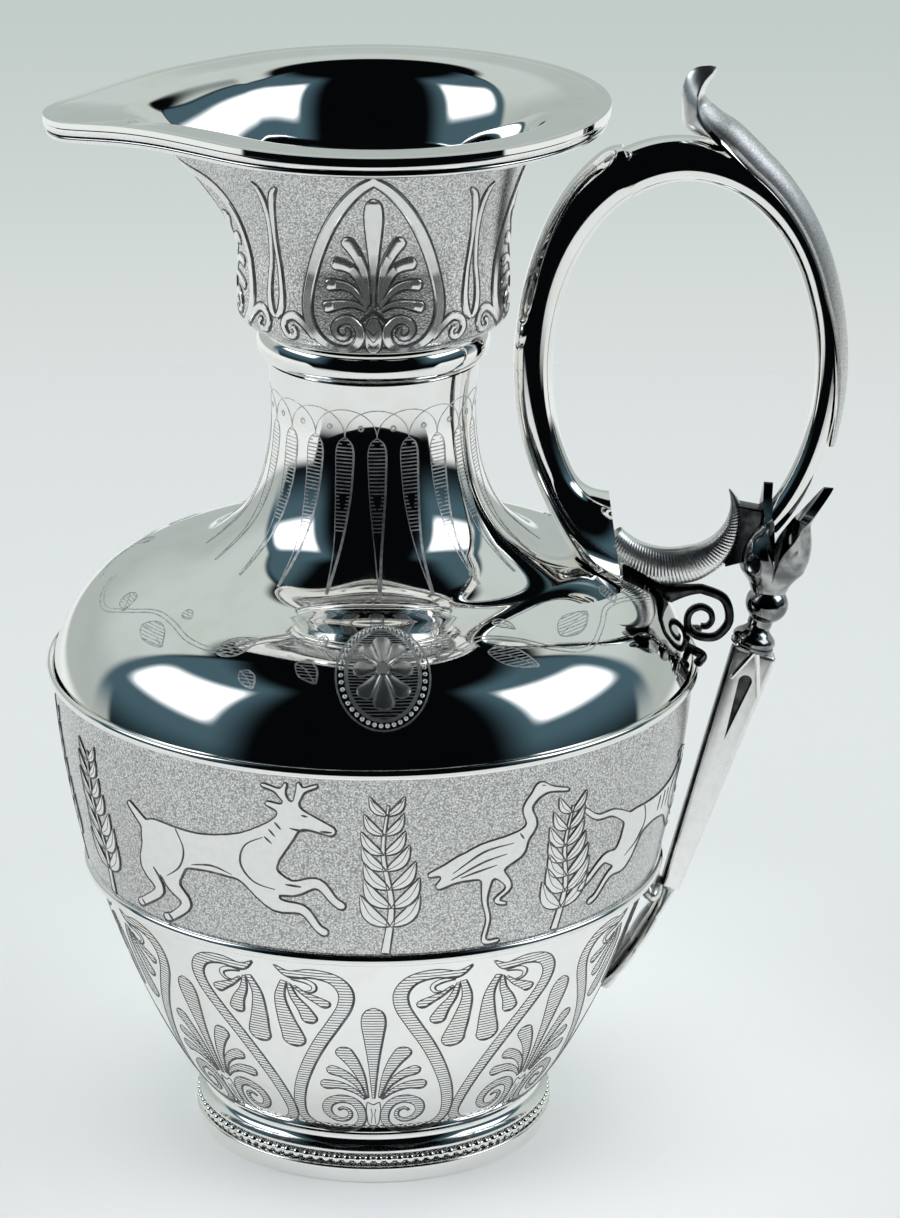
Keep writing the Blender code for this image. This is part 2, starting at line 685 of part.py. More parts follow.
def tongue_widths(angle):
    """How far the tongue's middle lies from its inner radius at an angle, and its half width there."""
    share = (angle - TONGUE_START) / (TONGUE_END - TONGUE_START)
    curl = max(share - 0.4, 0.0) / 0.6
    return TONGUE_HALF_WIDTH - TONGUE_CURL * curl ** 2, TONGUE_HALF_WIDTH * (1.0 - 0.95 * curl ** 1.3)


def tongue_radius():
    """The tongue's inner radius, so that its back stands a link's length from the calyx."""
    offset, half = tongue_widths(LINK_ANGLE)
    side = calyx_point(math.pi, 0.5 * CALYX_LENGTH, CALYX_WALL).x - LINK_LENGTH
    return (side - TONGUE_X) / math.cos(math.radians(LINK_ANGLE)) - offset - half


def tongue_mid(angle):
    """Centre and half width of the tongue at an angle in degrees about its own centre."""
    offset, half = tongue_widths(angle)
    inner = tongue_radius()
    a = math.radians(angle)
    centre = Vector((TONGUE_X, 0.0, LOOP_FLOOR_Z + inner))
    return centre + (inner + offset) * Vector((math.cos(a), 0.0, math.sin(a))), half


def tongue_back(angle):
    """A point on the tongue's back, the side away from its own centre."""
    centre, half = tongue_mid(angle)
    a = math.radians(angle)
    return centre.x + half * math.cos(a), centre.z + half * math.sin(a)


def make_tongue():
    """A feathered tongue that comes out of the bell and curls up at its tip, under the loop."""
    steps = 13
    mids = [tongue_mid(blend(TONGUE_START, TONGUE_END, i / steps)) for i in range(steps + 1)]
    rings = []
    for i, (centre, half) in enumerate(mids):
        before = mids[max(i - 1, 0)][0]
        after = mids[min(i + 1, steps)][0]
        along = (after - before).normalized()
        thick = TONGUE_HALF_THICKNESS * half / TONGUE_HALF_WIDTH
        ring = ring_of_circle(centre, along, thick, half, 8)
        rings.append([above_shoulder(point, 2 * SEAM + BELL_WALL) for point in ring])
    loft("tongue_leaf", rings, ENGRAVED)


def axis_matrix(origin, direction):
    """A frame whose +Z runs along a direction in the XZ plane, from an origin."""
    tilt = math.atan2(direction.x, direction.z)
    return Matrix.Translation(origin) @ Matrix.Rotation(tilt, 4, 'Y')


def knop_point():
    return Vector((KNOP_X, 0.0, KNOP_Z))


def heel_point():
    """Centre of the bead between the strut's foot and the bowl."""
    z = BOWL_TOP_Z - HEEL_DROP
    return Vector((bowl_radius(z) + SEAM + HEEL_RADIUS, 0.0, z))


def strut_foot():
    """Where the strut's axis passes the lower joint, just clear of its moulding."""
    clear = LOWER_MOULDING_BACK + MOULDING_WIDTH + SEAM
    return Vector((clear + 0.54 * STRUT_END_WIDTH, 0.0, BOWL_TOP_Z))


def turned_on(name, outline, matrix, finish, closed, segments):
    """A turned piece stood on another axis than the jug's."""
    piece = turned(name, outline, finish, closed, segments)
    piece.matrix_local = matrix
    return piece


def calyx_frame():
    """The calyx's own frame: its origin on top of the knop, +Z towards the end of the stem."""
    up = (stem_end() - knop_point()).normalized()
    return axis_matrix(knop_point() + up * (KNOP_RADIUS + SEAM), up)


def calyx_point(angle, height, out):
    """A point a distance outside the calyx's inner face, at an angle about its frame and a height."""
    share = height / CALYX_LENGTH
    room = stem_radius(STEM_END_ANGLE) + 3 * SEAM
    swell = math.sin(math.pi * min(share * 1.6, 1.0)) * (CALYX_RADIUS - CALYX_WALL - room)
    lean = CALYX_LEAN * max(share - 0.6, 0.0) / 0.4
    radius = (room + swell + lean) * min(1.0, 0.35 + 4.0 * share) + out
    bend = CALYX_BEND * share ** 2
    return calyx_frame() @ Vector((radius * math.cos(angle) + bend, 0.85 * radius * math.sin(angle), height))


def make_calyx():
    """Two pointed leaves round the lower end of the stem, cut down to a slit before and behind."""
    columns = 20
    rows = []
    for k in range(8):
        row = []
        for i in range(columns):
            angle = 2 * math.pi * i / columns
            height = blend(CALYX_SLIT_HEIGHT, CALYX_LENGTH, abs(math.cos(angle)) ** 1.6) * k / 7
            row.append(calyx_point(angle, height, 0.0))
        rows.append(row)
    skin("socket_calyx", rows, CALYX_WALL, POLISHED, cyclic=True)


def strut_axis():
    """The strut's own frame: its origin at the knop, +Z up from the heel."""
    up = (knop_point() - strut_foot()).normalized()
    return axis_matrix(knop_point(), up)


def make_knop():
    """A ball over a small neck, and the flared capital that the strut hangs from."""
    matrix = strut_axis()
    arc = [math.radians(a) for a in range(90, -61, -25)]
    ball = [(KNOP_RADIUS * math.cos(a), KNOP_RADIUS * math.sin(a)) for a in arc]
    neck = 0.55 * KNOP_RADIUS
    ball[0] = (0.0, KNOP_RADIUS)
    ball += [(neck, -KNOP_RADIUS), (0.0, -KNOP_RADIUS)]
    turned_on("knop", ball, matrix, POLISHED, False, 20)
    top = -KNOP_RADIUS - SEAM
    low = top - CAPITAL_HEIGHT
    outline = [(0.0, top), (neck, top), (neck + EDGE, top - 0.3 * CAPITAL_HEIGHT),
               (CAPITAL_RADIUS, top - 0.6 * CAPITAL_HEIGHT), (CAPITAL_RADIUS, low + EDGE),
               (CAPITAL_RADIUS - EDGE, low), (0.0, low)]
    turned_on("strut_capital", outline, matrix, POLISHED, False, 20)


def make_strut():
    """A flat tapering bar from the capital down to the heel, with a keyhole sunk in both faces."""
    length = (knop_point() - strut_foot()).length
    top = -KNOP_RADIUS - CAPITAL_HEIGHT - 2 * SEAM
    low = -length - STRUT_END_DROP
    matrix = strut_axis() @ Matrix.Rotation(math.pi / 2, 4, 'X')
    outline = [(-STRUT_TOP_WIDTH / 2, top), (STRUT_TOP_WIDTH / 2, top)]
    outline += [(STRUT_END_WIDTH / 2, low), (-STRUT_END_WIDTH / 2, low)]
    mesh = curve_to_mesh(flat_curve("strut", outline, STRUT_THICKNESS), matrix)
    piece = add_piece("strut", mesh, POLISHED)
    edge = piece.modifiers.new("edge", 'BEVEL')
    edge.width = STRUT_EDGE
    edge.segments = 2
    centre = top - KEYHOLE_DROP
    drop = [(0.0, centre - KEYHOLE_LENGTH)]
    drop += [(KEYHOLE_RADIUS * math.cos(math.radians(a)), centre + KEYHOLE_RADIUS * math.sin(math.radians(a)))
             for a in range(-10, 191, 25)]
    cutters = bmesh.new()
    for face in (-1, 1):
        shift = Matrix.Translation((0.0, 0.0, face * STRUT_THICKNESS / 2))
        one = curve_to_mesh(flat_curve("keyhole", drop, 2 * KEYHOLE_DEPTH), matrix @ shift)
        cutters.from_mesh(one)
    both = bpy.data.meshes.new("keyholes")
    cutters.to_mesh(both)
    cutters.free()
    cut(piece, both)


def make_heel():
    """The bead under the strut's foot and the palmette plate that hangs on the bowl below it."""
    heel = heel_point()
    shape = bmesh.new()
    bmesh.ops.create_uvsphere(shape, u_segments=12, v_segments=8, radius=HEEL_RADIUS)
    bmesh.ops.translate(shape, verts=shape.verts, vec=heel)
    mesh = bpy.data.meshes.new("strut_heel")
    shape.to_mesh(mesh)
    shape.free()
    add_piece("strut_heel", mesh, POLISHED)
    length = (knop_point() - strut_foot()).length
    top = strut_axis() @ Vector((0.0, 0.0, -length - STRUT_END_DROP - 4 * SEAM))
    tip_z = top.z - PALMETTE_DROP
    tip = Vector((bowl_radius(tip_z) + SEAM + PALMETTE_HALF_THICKNESS, 0.0, tip_z))
    to_heel = heel - tip
    clear = HEEL_RADIUS + SEAM + PALMETTE_HALF_THICKNESS
    climb = math.atan2(to_heel.z, to_heel.x) - math.asin(clear / to_heel.length)
    top.x = tip.x + PALMETTE_DROP / math.tan(climb)
    along = (tip - top).normalized()
    rings = []
    for k in range(9):
        share = k / 8
        half = PALMETTE_HALF_WIDTH * (math.sin(math.pi * (0.12 + 0.84 * share)) ** 0.8 + 0.04)
        rings.append(ring_of_circle(top.lerp(tip, share), along, half, PALMETTE_HALF_THICKNESS, 8))
    loft("lower_palmette", rings, ENGRAVED)


def bracket_frame():
    """Centre of the volute and how far it is squeezed to fit between the shoulder and the capital."""
    centre_z = LOOP_FLOOR_Z - 2 * TONGUE_HALF_WIDTH - SEAM - VOLUTE_RADIUS
    left = shoulder_radius(centre_z) + SEAM
    axis = strut_axis()
    capital = axis @ Vector((0.0, 0.0, -KNOP_RADIUS - 0.7 * CAPITAL_HEIGHT))
    right = capital.x - CAPITAL_RADIUS / math.cos(axis.to_euler().y) - SEAM
    return left, right, centre_z


def make_bracket():
    """A flat scroll between the shoulder and the strut: a bar that winds down into a volute."""
    left, right, centre_z = bracket_frame()
    squeeze = (right - left) / (1.75 * VOLUTE_RADIUS)
    centre_x = left + 0.75 * VOLUTE_RADIUS * squeeze
    spiral = []
    for i in range(37):
        share = i / 36
        a = math.radians(90.0 - 620.0 * share)
        radius = (VOLUTE_RADIUS - BRACKET_HALF_WIDTH) * (1.0 - 0.84 * share ** 0.82)
        spiral.append((centre_x + squeeze * radius * math.cos(a), centre_z + radius * math.sin(a)))
    bar_z = spiral[0][1]
    start = shoulder_radius(bar_z - BRACKET_HALF_WIDTH) + SEAM
    bar = [(blend(start, centre_x, i / 4), bar_z) for i in range(4)]
    path = bar + spiral
    outer = []
    inner = []
    for i, (x, z) in enumerate(path):
        before, after = path[max(i - 1, 0)], path[min(i + 1, len(path) - 1)]
        along = Vector((after[0] - before[0], after[1] - before[1])).normalized()
        half = BRACKET_HALF_WIDTH * (1.0 - 0.4 * max(i - 20, 0) / 20)
        outer.append((x - along.y * half, z + along.x * half))
        inner.append((x + along.y * half, z - along.x * half))
    curve = flat_curve("scroll_bracket", outer + inner[::-1], BRACKET_THICKNESS)
    mesh = curve_to_mesh(curve, Matrix.Rotation(math.pi / 2, 4, 'X'))
    add_piece("scroll_bracket", mesh, POLISHED)
    low_z = centre_z - 0.78 * VOLUTE_RADIUS
    for name, side in (("bracket_leg_front", -1), ("bracket_leg_back", 1)):
        ring = UPPER_MOULDING_BACK + 0.5 * LEG_RADIUS
        foot_z = FRIEZE_TOP_Z + MOULDING_HALF_HEIGHT + SEAM + 0.8 * LEG_RADIUS
        y = side * LEG_SPLAY
        x = math.sqrt(ring ** 2 - y ** 2)
        top_y = side * (BRACKET_THICKNESS / 2 + SEAM + LEG_RADIUS)
        knots = [(centre_x + LEG_RADIUS, top_y, low_z + LEG_RADIUS),
                 (centre_x + LEG_RADIUS, top_y + side * 2 * LEG_RADIUS, low_z),
                 (x + LEG_RADIUS, 0.8 * y, foot_z + LEG_RADIUS), (x, y, foot_z)]
        points = smooth_path(knots, 3)
        tube(name, points, [LEG_RADIUS] * len(points), POLISHED)


def make_link():
    """A flat web that joins the back of the tongue to the calyx."""
    back = [tongue_back(blend(LINK_START, TONGUE_END, i / 60)) for i in range(61)]
    left = []
    right = []
    for k in range(2, 6):
        edge = calyx_point(math.pi, CALYX_LENGTH * k / 7, CALYX_WALL + SEAM)
        right.append((edge.x, edge.z))
        left.append((value_at(back, 1, 0, edge.z) + SEAM, edge.z))
    curve = flat_curve("tongue_link", left + right[::-1], LINK_THICKNESS)
    mesh = curve_to_mesh(curve, Matrix.Rotation(math.pi / 2, 4, 'X'))
    add_piece("tongue_link", mesh, POLISHED)


def place_axis():
    """The empty that carries every piece, set so that the model's box is centred over the origin."""
    reach = loop_point(0.0, STEM_RADIUS).x + STEM_RADIUS + SEAM + LEAF_THICKNESS
    back = max(SPOUT_REACH, UPPER_MOULDING_BACK + MOULDING_WIDTH)
    axis = bpy.data.objects.new("jug_axis", None)
    new_collection("cream_jug").objects.link(axis)
    axis.location = ((back - reach) / 2, 0.0, 0.0)


def main():
    clear_scene()
    place_axis()
    make_foot()
    make_bowl()
    make_body()
    make_mouldings()
    make_mouth()
    make_horn()
    make_stem()
    make_thumb_leaf()
    make_tongue()
    make_link()
    make_calyx()
    make_knop()
    make_strut()
    make_heel()
    make_bracket()


main()
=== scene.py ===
"""The looks of a silver cream jug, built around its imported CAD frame.

The body, the mouth and the handle stand for the CAD nodes with finer shapes. The ornament is laid on them
as thin solids: raised straps and leaves on the stippled grounds, cut lines and hatching on the polished ones.
All shapes are made about the jug's own axis and moved to the frame's axis at the end.
"""

from functools import cache
from math import acos, asin, atan2, copysign, cos, degrees, dist, hypot, pi, radians, sin, sqrt, tan

import bmesh
import bpy
import numpy as np
from bpy.props import FloatProperty, FloatVectorProperty, IntProperty, PointerProperty
from mathutils import Matrix, Vector
from mathutils.geometry import delaunay_2d_cdt


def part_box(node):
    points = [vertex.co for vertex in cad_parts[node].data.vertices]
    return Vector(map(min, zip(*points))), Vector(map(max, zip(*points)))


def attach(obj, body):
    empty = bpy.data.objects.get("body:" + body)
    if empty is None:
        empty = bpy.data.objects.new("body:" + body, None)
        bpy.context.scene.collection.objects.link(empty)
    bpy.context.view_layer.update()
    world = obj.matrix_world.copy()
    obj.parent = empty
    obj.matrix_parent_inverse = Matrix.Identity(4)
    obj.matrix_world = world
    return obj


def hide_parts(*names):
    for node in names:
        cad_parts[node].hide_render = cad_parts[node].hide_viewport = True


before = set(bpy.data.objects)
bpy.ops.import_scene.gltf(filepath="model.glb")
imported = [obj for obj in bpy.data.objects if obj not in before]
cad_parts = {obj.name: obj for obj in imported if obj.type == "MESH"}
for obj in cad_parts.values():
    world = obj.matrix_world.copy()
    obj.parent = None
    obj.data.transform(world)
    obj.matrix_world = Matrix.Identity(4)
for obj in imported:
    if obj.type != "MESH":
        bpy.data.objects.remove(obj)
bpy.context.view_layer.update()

bl_info = {
    "name": "Silver Cream Jug",
    "version": (1, 0, 0),
    "blender": (4, 5, 0),
    "location": "View3D > Sidebar > Cream Jug",
    "description": "Builds an engraved silver cream jug, its handle, its ornament and a small studio",
    "category": "Object",
}

MM = 0.001
BODY = "root"
POLISHED, ENGRAVED, STIPPLED = "polished_silver", "engraved_silver", "stippled_silver"
ACROSS = Vector((0.0, 1.0, 0.0))
AXIS_X = sum(corner.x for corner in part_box("foot_ring")) / 2

# Sizes of the CAD solids that the finer shapes repeat: the turned body
WALL = 0.9 * MM
SEAM = 0.3 * MM
FOOT_RADIUS = 30.6 * MM
FOOT_NECK_RADIUS = 28.6 * MM
FOOT_HEIGHT = 8.5 * MM
FOOT_BAND_HEIGHT = 3.2 * MM
FOOT_WALL = 2.2 * MM
FOOT_LAND = 4.0 * MM
EDGE = 0.4 * MM
BEAD_RADIUS = 0.85 * MM
BOWL_FOOT_RADIUS = 29.6 * MM
BOWL_HEIGHT = 39.9 * MM
BOWL_TOP_RADIUS = 47.6 * MM
BOWL_DRAW_IN = 3.7 * MM
BOWL_FOOT_FLARE = 6.0 * MM
BOWL_TOP_Z = 48.4 * MM
FRIEZE_HEIGHT = 34.3 * MM
FRIEZE_FOOT_RADIUS = 48.3 * MM
FRIEZE_TOP_RADIUS = 53.6 * MM
FRIEZE_SWELL = 0.9 * MM
FRIEZE_TOP_Z = 82.7 * MM
SHOULDER_FOOT_RADIUS = 53.8 * MM
SHOULDER_HEIGHT = 17.7 * MM
SHOULDER_TOP_RADIUS = 33.8 * MM
SHOULDER_TOP_Z = 100.85 * MM
SHOULDER_FALL = 0.182
NECK_BEND_RADIUS = 23.6 * MM
NECK_BEND_Z = 106.75 * MM
NECK_BEND_SLOPE = radians(48.0)
NECK_HEIGHT = 35.2 * MM
NECK_RADIUS = 16.8 * MM
NECK_FLARE = 0.7 * MM
NECK_TOP_Z = 135.6 * MM
COLLAR_HEIGHT = 5.8 * MM
COLLAR_RADIUS = 19.2 * MM
COLLAR_BULGE = 1.6 * MM
UPPER_MOULDING_BACK = 54.1 * MM
LOWER_MOULDING_BACK = 48.6 * MM
MOULDING_WIDTH = 0.6 * MM
MOULDING_HALF_HEIGHT = 0.9 * MM

# The mouth
CUP_RADIUS = 22.1 * MM
CUP_BOTTOM_Z = 141.4 * MM
CUP_CORNER = 2.8 * MM
FLARE_Z = 155.0 * MM
LIP_Z = 178.6 * MM
LIP_RADIUS = 38.4 * MM
LIP_ROLL = 0.2 * MM
FLANGE_WIDTH = 6.0 * MM
FLARE_RISE = 11.0 * MM
SPOUT_REACH = 53.4 * MM
SPOUT_TIP_RADIUS = 11.3 * MM
SPOUT_DROP = 2.2 * MM
SPOUT_CHANNEL = 6.0 * MM
SPOUT_FLANGE = 6.0 * MM
FOLD_BEND = 7.5 * MM
STIPPLE_FOOT_Z = CUP_BOTTOM_Z + 0.6 * MM
STIPPLE_TOP_Z = LIP_Z - 3.6 * MM

# The handle
LOOP_X = 50.6 * MM
LOOP_Z = 133.8 * MM
LOOP_FLOOR_Z = 101.1 * MM
LOOP_HALF_WIDTH = 21.9 * MM
LOOP_HALF_HEIGHT = 32.7 * MM
HORN_RADIUS = 2.8 * MM
HORN_TOP_RADIUS = 3.8 * MM
STEM_RADIUS = 2.2 * MM
STEM_TOP_RADIUS = 3.2 * MM
ROD_RADIUS = 2.1 * MM
ROD_TOP_RADIUS = 3.75 * MM
BELL_RADIUS = 8.4 * MM
BELL_REACH = 10.6 * MM
BELL_DROP = 11.6 * MM
BELL_WALL = 1.0 * MM
BELL_CROWN_PULLS = (3.2 * MM, Vector((-3.4, 0.0, 0.5)) * MM)
BELL_BOTTOM_PULLS = (7.0 * MM, Vector((-7.5, 0.0, 2.0)) * MM)
HORN_FULLER = 0.45 * MM
SLEEVE_EDGE = 0.9 * MM
LOOP_SQUARE = 0.62
PETAL_REACH = 3.8 * MM
TONGUE_X = 49.4 * MM
TONGUE_HALF_WIDTH = 2.6 * MM
TONGUE_HALF_THICKNESS = 2.4 * MM
TONGUE_CURL = 5.2 * MM
FEATHERS = 58
FEATHER_DEPTH = 0.22 * MM
LEAF_THICKNESS = 0.9 * MM
LEAF_SWELL = 1.2 * MM
LEAF_LIFT = 2.2 * MM
KNOP = Vector((65.8 * MM, 0.0, 92.3 * MM))
KNOP_RADIUS = 3.3 * MM
CALYX_RADIUS = 5.6 * MM
CALYX_LENGTH = 17.6 * MM
CALYX_SLIT_HEIGHT = 3.0 * MM
CALYX_WALL = 1.0 * MM
CALYX_LEAN = 1.4 * MM
CALYX_BEND = 2.8 * MM
CALYX_FOOT = -1.4 * MM
CALYX_ROLL = 0.55 * MM
CALYX_FULLER = 0.35 * MM
CALYX_OVERLAP = 0.2 * MM
CAPITAL_RADIUS = 3.7 * MM
CAPITAL_HEIGHT = 4.6 * MM
STRUT_TOP_WIDTH = 7.8 * MM
STRUT_END_WIDTH = 4.6 * MM
STRUT_THICKNESS = 3.6 * MM
STRUT_EDGE = 0.9 * MM
STRUT_END_DROP = 4.2 * MM
STRUT_END_TUCK = 3.6 * MM
STRUT_SHIFT = 0.8 * MM
KEYHOLE_LENGTH = 11.0 * MM
KEYHOLE_RADIUS = 1.15 * MM
KEYHOLE_DEPTH = 0.8 * MM
KEYHOLE_DROP = 5.5 * MM
HEEL_RADIUS = 1.5 * MM
HEEL_DROP = 6.9 * MM
PALMETTE_DROP = 20.5 * MM
PALMETTE_START = 0.12
PALMETTE_HALF_WIDTH = 5.4 * MM
PALMETTE_HALF_THICKNESS = 1.2 * MM
VOLUTE_RADIUS = 5.3 * MM
VOLUTE_HUB_DROP = 0.95 * MM
BRACKET_THICKNESS = 2.8 * MM
BRACKET_HALF_WIDTH = 0.75 * MM
BRACKET_WEB = 1.9 * MM
LEG_RADIUS = 0.8 * MM
LEG_SPLAY = 8.0 * MM
LINK_THICKNESS = 2.4 * MM
LINK_LENGTH = 1.5 * MM
LINK_TUCK = 0.5 * MM
LINK_SPREAD = 0.9 * MM

# Angles of the handle, in degrees round the loop unless they are turned into radians
SLEEVE_ANGLE = 110.0
STEM_TAPER = 90.0
HORN_TAPER = 60.0
ROD_TAPER = 115.0
BELL_ANGLE = 212.0
STEM_END_ANGLE = -46.0
THUMB_ANGLE = 83.0
LEAF_END_ANGLE = -22.0
LEAF_REACH_LOW = radians(20.0)
LEAF_REACH_TOP = radians(86.0)
PETAL_ANGLE = 120.0
PETAL_SPREAD = 60.0
TONGUE_START = -126.0
TONGUE_END = -6.0
LINK_START = -60.0
LINK_ANGLE = -35.0
MOUTH_TILT = radians(8.0)


# ---- settings

class JugBodySettings(bpy.types.PropertyGroup):
    """Mesh density of the turned body and the sizes of its small repeated parts."""
    segments: IntProperty(name="Segments", description="Faces round the turned pieces", default=192, min=24)
    bead_pitch: FloatProperty(
        name="Bead Pitch", description="Distance from bead to bead on the foot", default=1.76 * MM, unit='LENGTH',
        subtype='DISTANCE')
    bead_radius: FloatProperty(
        name="Bead Radius", description="Radius of each bead on the foot", default=BEAD_RADIUS, unit='LENGTH',
        subtype='DISTANCE')


class JugFinishSettings(bpy.types.PropertyGroup):
    """Colours and polish of the silver."""
    silver: FloatVectorProperty(
        name="Silver", description="Colour of polished silver", subtype='COLOR', size=4,
        default=(0.94, 0.93, 0.915, 1.0), min=0.0, max=1.0)
    polish: FloatProperty(
        name="Polish", description="Roughness of the polished faces", subtype='FACTOR', default=0.035, min=0.0,
        max=1.0)
    ground_dark: FloatVectorProperty(
        name="Ground Dark", description="Colour in the pits of the stippled ground", subtype='COLOR', size=4,
        default=(0.34, 0.34, 0.34, 1.0), min=0.0, max=1.0)
    ground_light: FloatVectorProperty(
        name="Ground Light", description="Colour on the grains of the ground", subtype='COLOR', size=4,
        default=(1.0, 0.985, 0.96, 1.0), min=0.0, max=1.0)
    grain: FloatProperty(
        name="Grain", description="Distance between the punched grains of the ground", default=0.34 * MM,
        unit='LENGTH', subtype='DISTANCE')
    cut: FloatVectorProperty(
        name="Cut Lines", description="Colour of the tarnish in the engraved lines", subtype='COLOR', size=4,
        default=(0.075, 0.075, 0.08, 1.0), min=0.0, max=1.0)


class JugStageSettings(bpy.types.PropertyGroup):
    """The floor, the light and the camera."""
    floor: FloatVectorProperty(
        name="Floor", description="Colour of the floor", subtype='COLOR', size=4, default=(0.95, 0.97, 0.965, 1.0),
        min=0.0, max=1.0)
    backdrop: FloatVectorProperty(
        name="Backdrop", description="Colour behind the jug", subtype='COLOR', size=4,
        default=(0.56, 0.625, 0.605, 1.0), min=0.0, max=1.0)
    floor_light: FloatProperty(
        name="Floor Light", description="Power of the light over the floor", default=14.4, min=0.0, unit='POWER')
    softbox: FloatProperty(name="Softbox", description="Strength of the two softboxes", default=2.6, min=0.0)
    lens: FloatProperty(name="Lens", description="Focal length of the camera", default=147.4, unit='CAMERA')


# ---- small geometry

def blend(low, high, share):
    return low + (high - low) * share


def ease(share):
    share = min(max(share, 0.0), 1.0)
    return share * share * (3 - 2 * share)


def bezier(start, leave, arrive, end, steps):
    """Points along a cubic from start to end, both included."""
    points = []
    for i in range(steps + 1):
        t = i / steps
        weights = ((1 - t) ** 3, 3 * t * (1 - t) ** 2, 3 * t * t * (1 - t), t ** 3)
        points.append(tuple(sum(w * k for w, k in zip(weights, knots)) for knots in zip(start, leave, arrive, end)))
    return points


def smooth_path(knots, per_span):
    """Points on a smooth curve through the knots, each knot a tuple of any length."""
    points = []
    last = len(knots) - 1
    for i in range(last):
        a, b = knots[max(i - 1, 0)], knots[i]
        c, d = knots[i + 1], knots[min(i + 2, last)]
        for step in range(per_span):
            t = step / per_span
            points.append(tuple(
                0.5 * (2 * q + (r - p) * t + (2 * p - 5 * q + 4 * r - s) * t * t
                       + (3 * q - p - 3 * r + s) * t ** 3)
                for p, q, r, s in zip(a, b, c, d)))
    points.append(tuple(knots[-1]))
    return points


def value_at(outline, known, wanted, where):
    """The wanted coordinate of an outline where its known coordinate equals the given value."""
    for one, two in zip(outline, outline[1:]):
        low, high = sorted((one[known], two[known]))
        if low <= where <= high and high > low:
            share = (where - one[known]) / (two[known] - one[known])
            return one[wanted] + share * (two[wanted] - one[wanted])
    nearest = min(outline, key=lambda point: abs(point[known] - where))
    return nearest[wanted]


def inset(outline, distance):
    """A copy of an outline that runs down its outer side, moved towards the axis by a wall."""
    moved = []
    last = len(outline) - 1
    for i, (r, z) in enumerate(outline):
        before = outline[max(i - 1, 0)]
        after = outline[min(i + 1, last)]
        along = Vector((after[0] - before[0], after[1] - before[1])).normalized()
        moved.append((r + along.y * distance, z - along.x * distance))
    return moved


def turns(count):
    """Equal steps round a full turn, in radians."""
    return [2 * pi * i / count for i in range(count)]


def arc(radius, start, end, steps):
    """Points of an arc about the origin, from one angle in degrees to another."""
    angles = [radians(blend(start, end, i / steps)) for i in range(steps + 1)]
    return [(radius * cos(a), radius * sin(a)) for a in angles]


def unit(angle):
    """A direction in the handle's plane, at an angle in radians from +X."""
    return Vector((cos(angle), 0.0, sin(angle)))


def heading(path, i):
    """The direction of a path in the handle's plane at one of its points."""
    before, after = path[max(i - 1, 0)], path[min(i + 1, len(path) - 1)]
    return Vector((after[0] - before[0], 0.0, after[1] - before[1])).normalized()


# ---- meshes and pieces

def mesh_of(points, faces):
    """A mesh with its doubles welded and its faces turned outwards."""
    mesh = bpy.data.meshes.new("shape")
    mesh.from_pydata([tuple(p) for p in points], [], faces)
    shape = bmesh.new()
    shape.from_mesh(mesh)
    bmesh.ops.remove_doubles(shape, verts=shape.verts, dist=1e-7)
    bmesh.ops.dissolve_degenerate(shape, dist=1e-8, edges=shape.edges)
    bmesh.ops.recalc_face_normals(shape, faces=shape.faces)
    shape.to_mesh(mesh)
    shape.free()
    return mesh


def grid_faces(rows, columns, around, along, start=0):
    """Faces of a grid of points, closed round each row and from the last row to the first where asked."""
    faces = []
    for i in range(rows if along else rows - 1):
        for k in range(columns if around else columns - 1):
            a, b = i * columns, ((i + 1) % rows) * columns
            j = (k + 1) % columns
            faces.append((start + a + k, start + a + j, start + b + j, start + b + k))
    return faces


def loft(rings):
    """Skin a row of closed rings of equal count, with a fan at each end."""
    count = len(rings[0])
    points = [p for ring in rings for p in ring]
    faces = grid_faces(len(rings), count, True, False)
    for first in (0, len(points) - count):
        middle = sum((Vector(p) for p in points[first:first + count]), Vector()) / count
        points.append(middle)
        hub = len(points) - 1
        faces += [(first + i, first + (i + 1) % count, hub) for i in range(count)]
    return mesh_of(points, faces)


def turned(outline, closed=True, segments=None):
    """An outline turned about the jug's axis; a closed outline makes a ring."""
    segments = segments or bpy.context.scene.jug_body.segments
    points = [(r * cos(a), r * sin(a), z) for a in turns(segments) for r, z in outline]
    return mesh_of(points, grid_faces(segments, len(outline), closed, True))


def turned_shell(outline):
    """A turned wall, open at both ends, from its outer side."""
    return turned(outline + inset(outline, WALL)[::-1])


def ring_at(centre, along, across_half, up_half, sides, squareness=1.0):
    """A ring square to a direction in the handle's plane, from its crown, with its own two half sizes."""
    up = Vector((-along.z, 0.0, along.x))
    ring = []
    for a in turns(sides):
        c, s = (copysign(abs(v) ** squareness, v) for v in (cos(a), sin(a)))
        ring.append(centre + up * (up_half * c) + ACROSS * (across_half * s))
    return ring


def tube(points, radii, sides):
    """A round rod through the points, with a radius at each."""
    points = [Vector(p) for p in points]
    last = len(points) - 1
    rings = []
    side = None
    for i, (point, radius) in enumerate(zip(points, radii)):
        along = (points[min(i + 1, last)] - points[max(i - 1, 0)]).normalized()
        if side is None:
            side = along.orthogonal().normalized()
        side = (side - along * side.dot(along)).normalized()
        up = along.cross(side)
        rings.append([point + radius * (side * cos(a) + up * sin(a)) for a in turns(sides)])
    return loft(rings)


def merged(*meshes):
    """One mesh that holds several."""
    shape = bmesh.new()
    for mesh in meshes:
        shape.from_mesh(mesh)
        bpy.data.meshes.remove(mesh)
    whole = bpy.data.meshes.new("shape")
    shape.to_mesh(whole)
    shape.free()
    return whole


def new_object(name, data):
    """An object in the scene."""
    made = bpy.data.objects.new(name, data)
    bpy.context.scene.collection.objects.link(made)
    return made


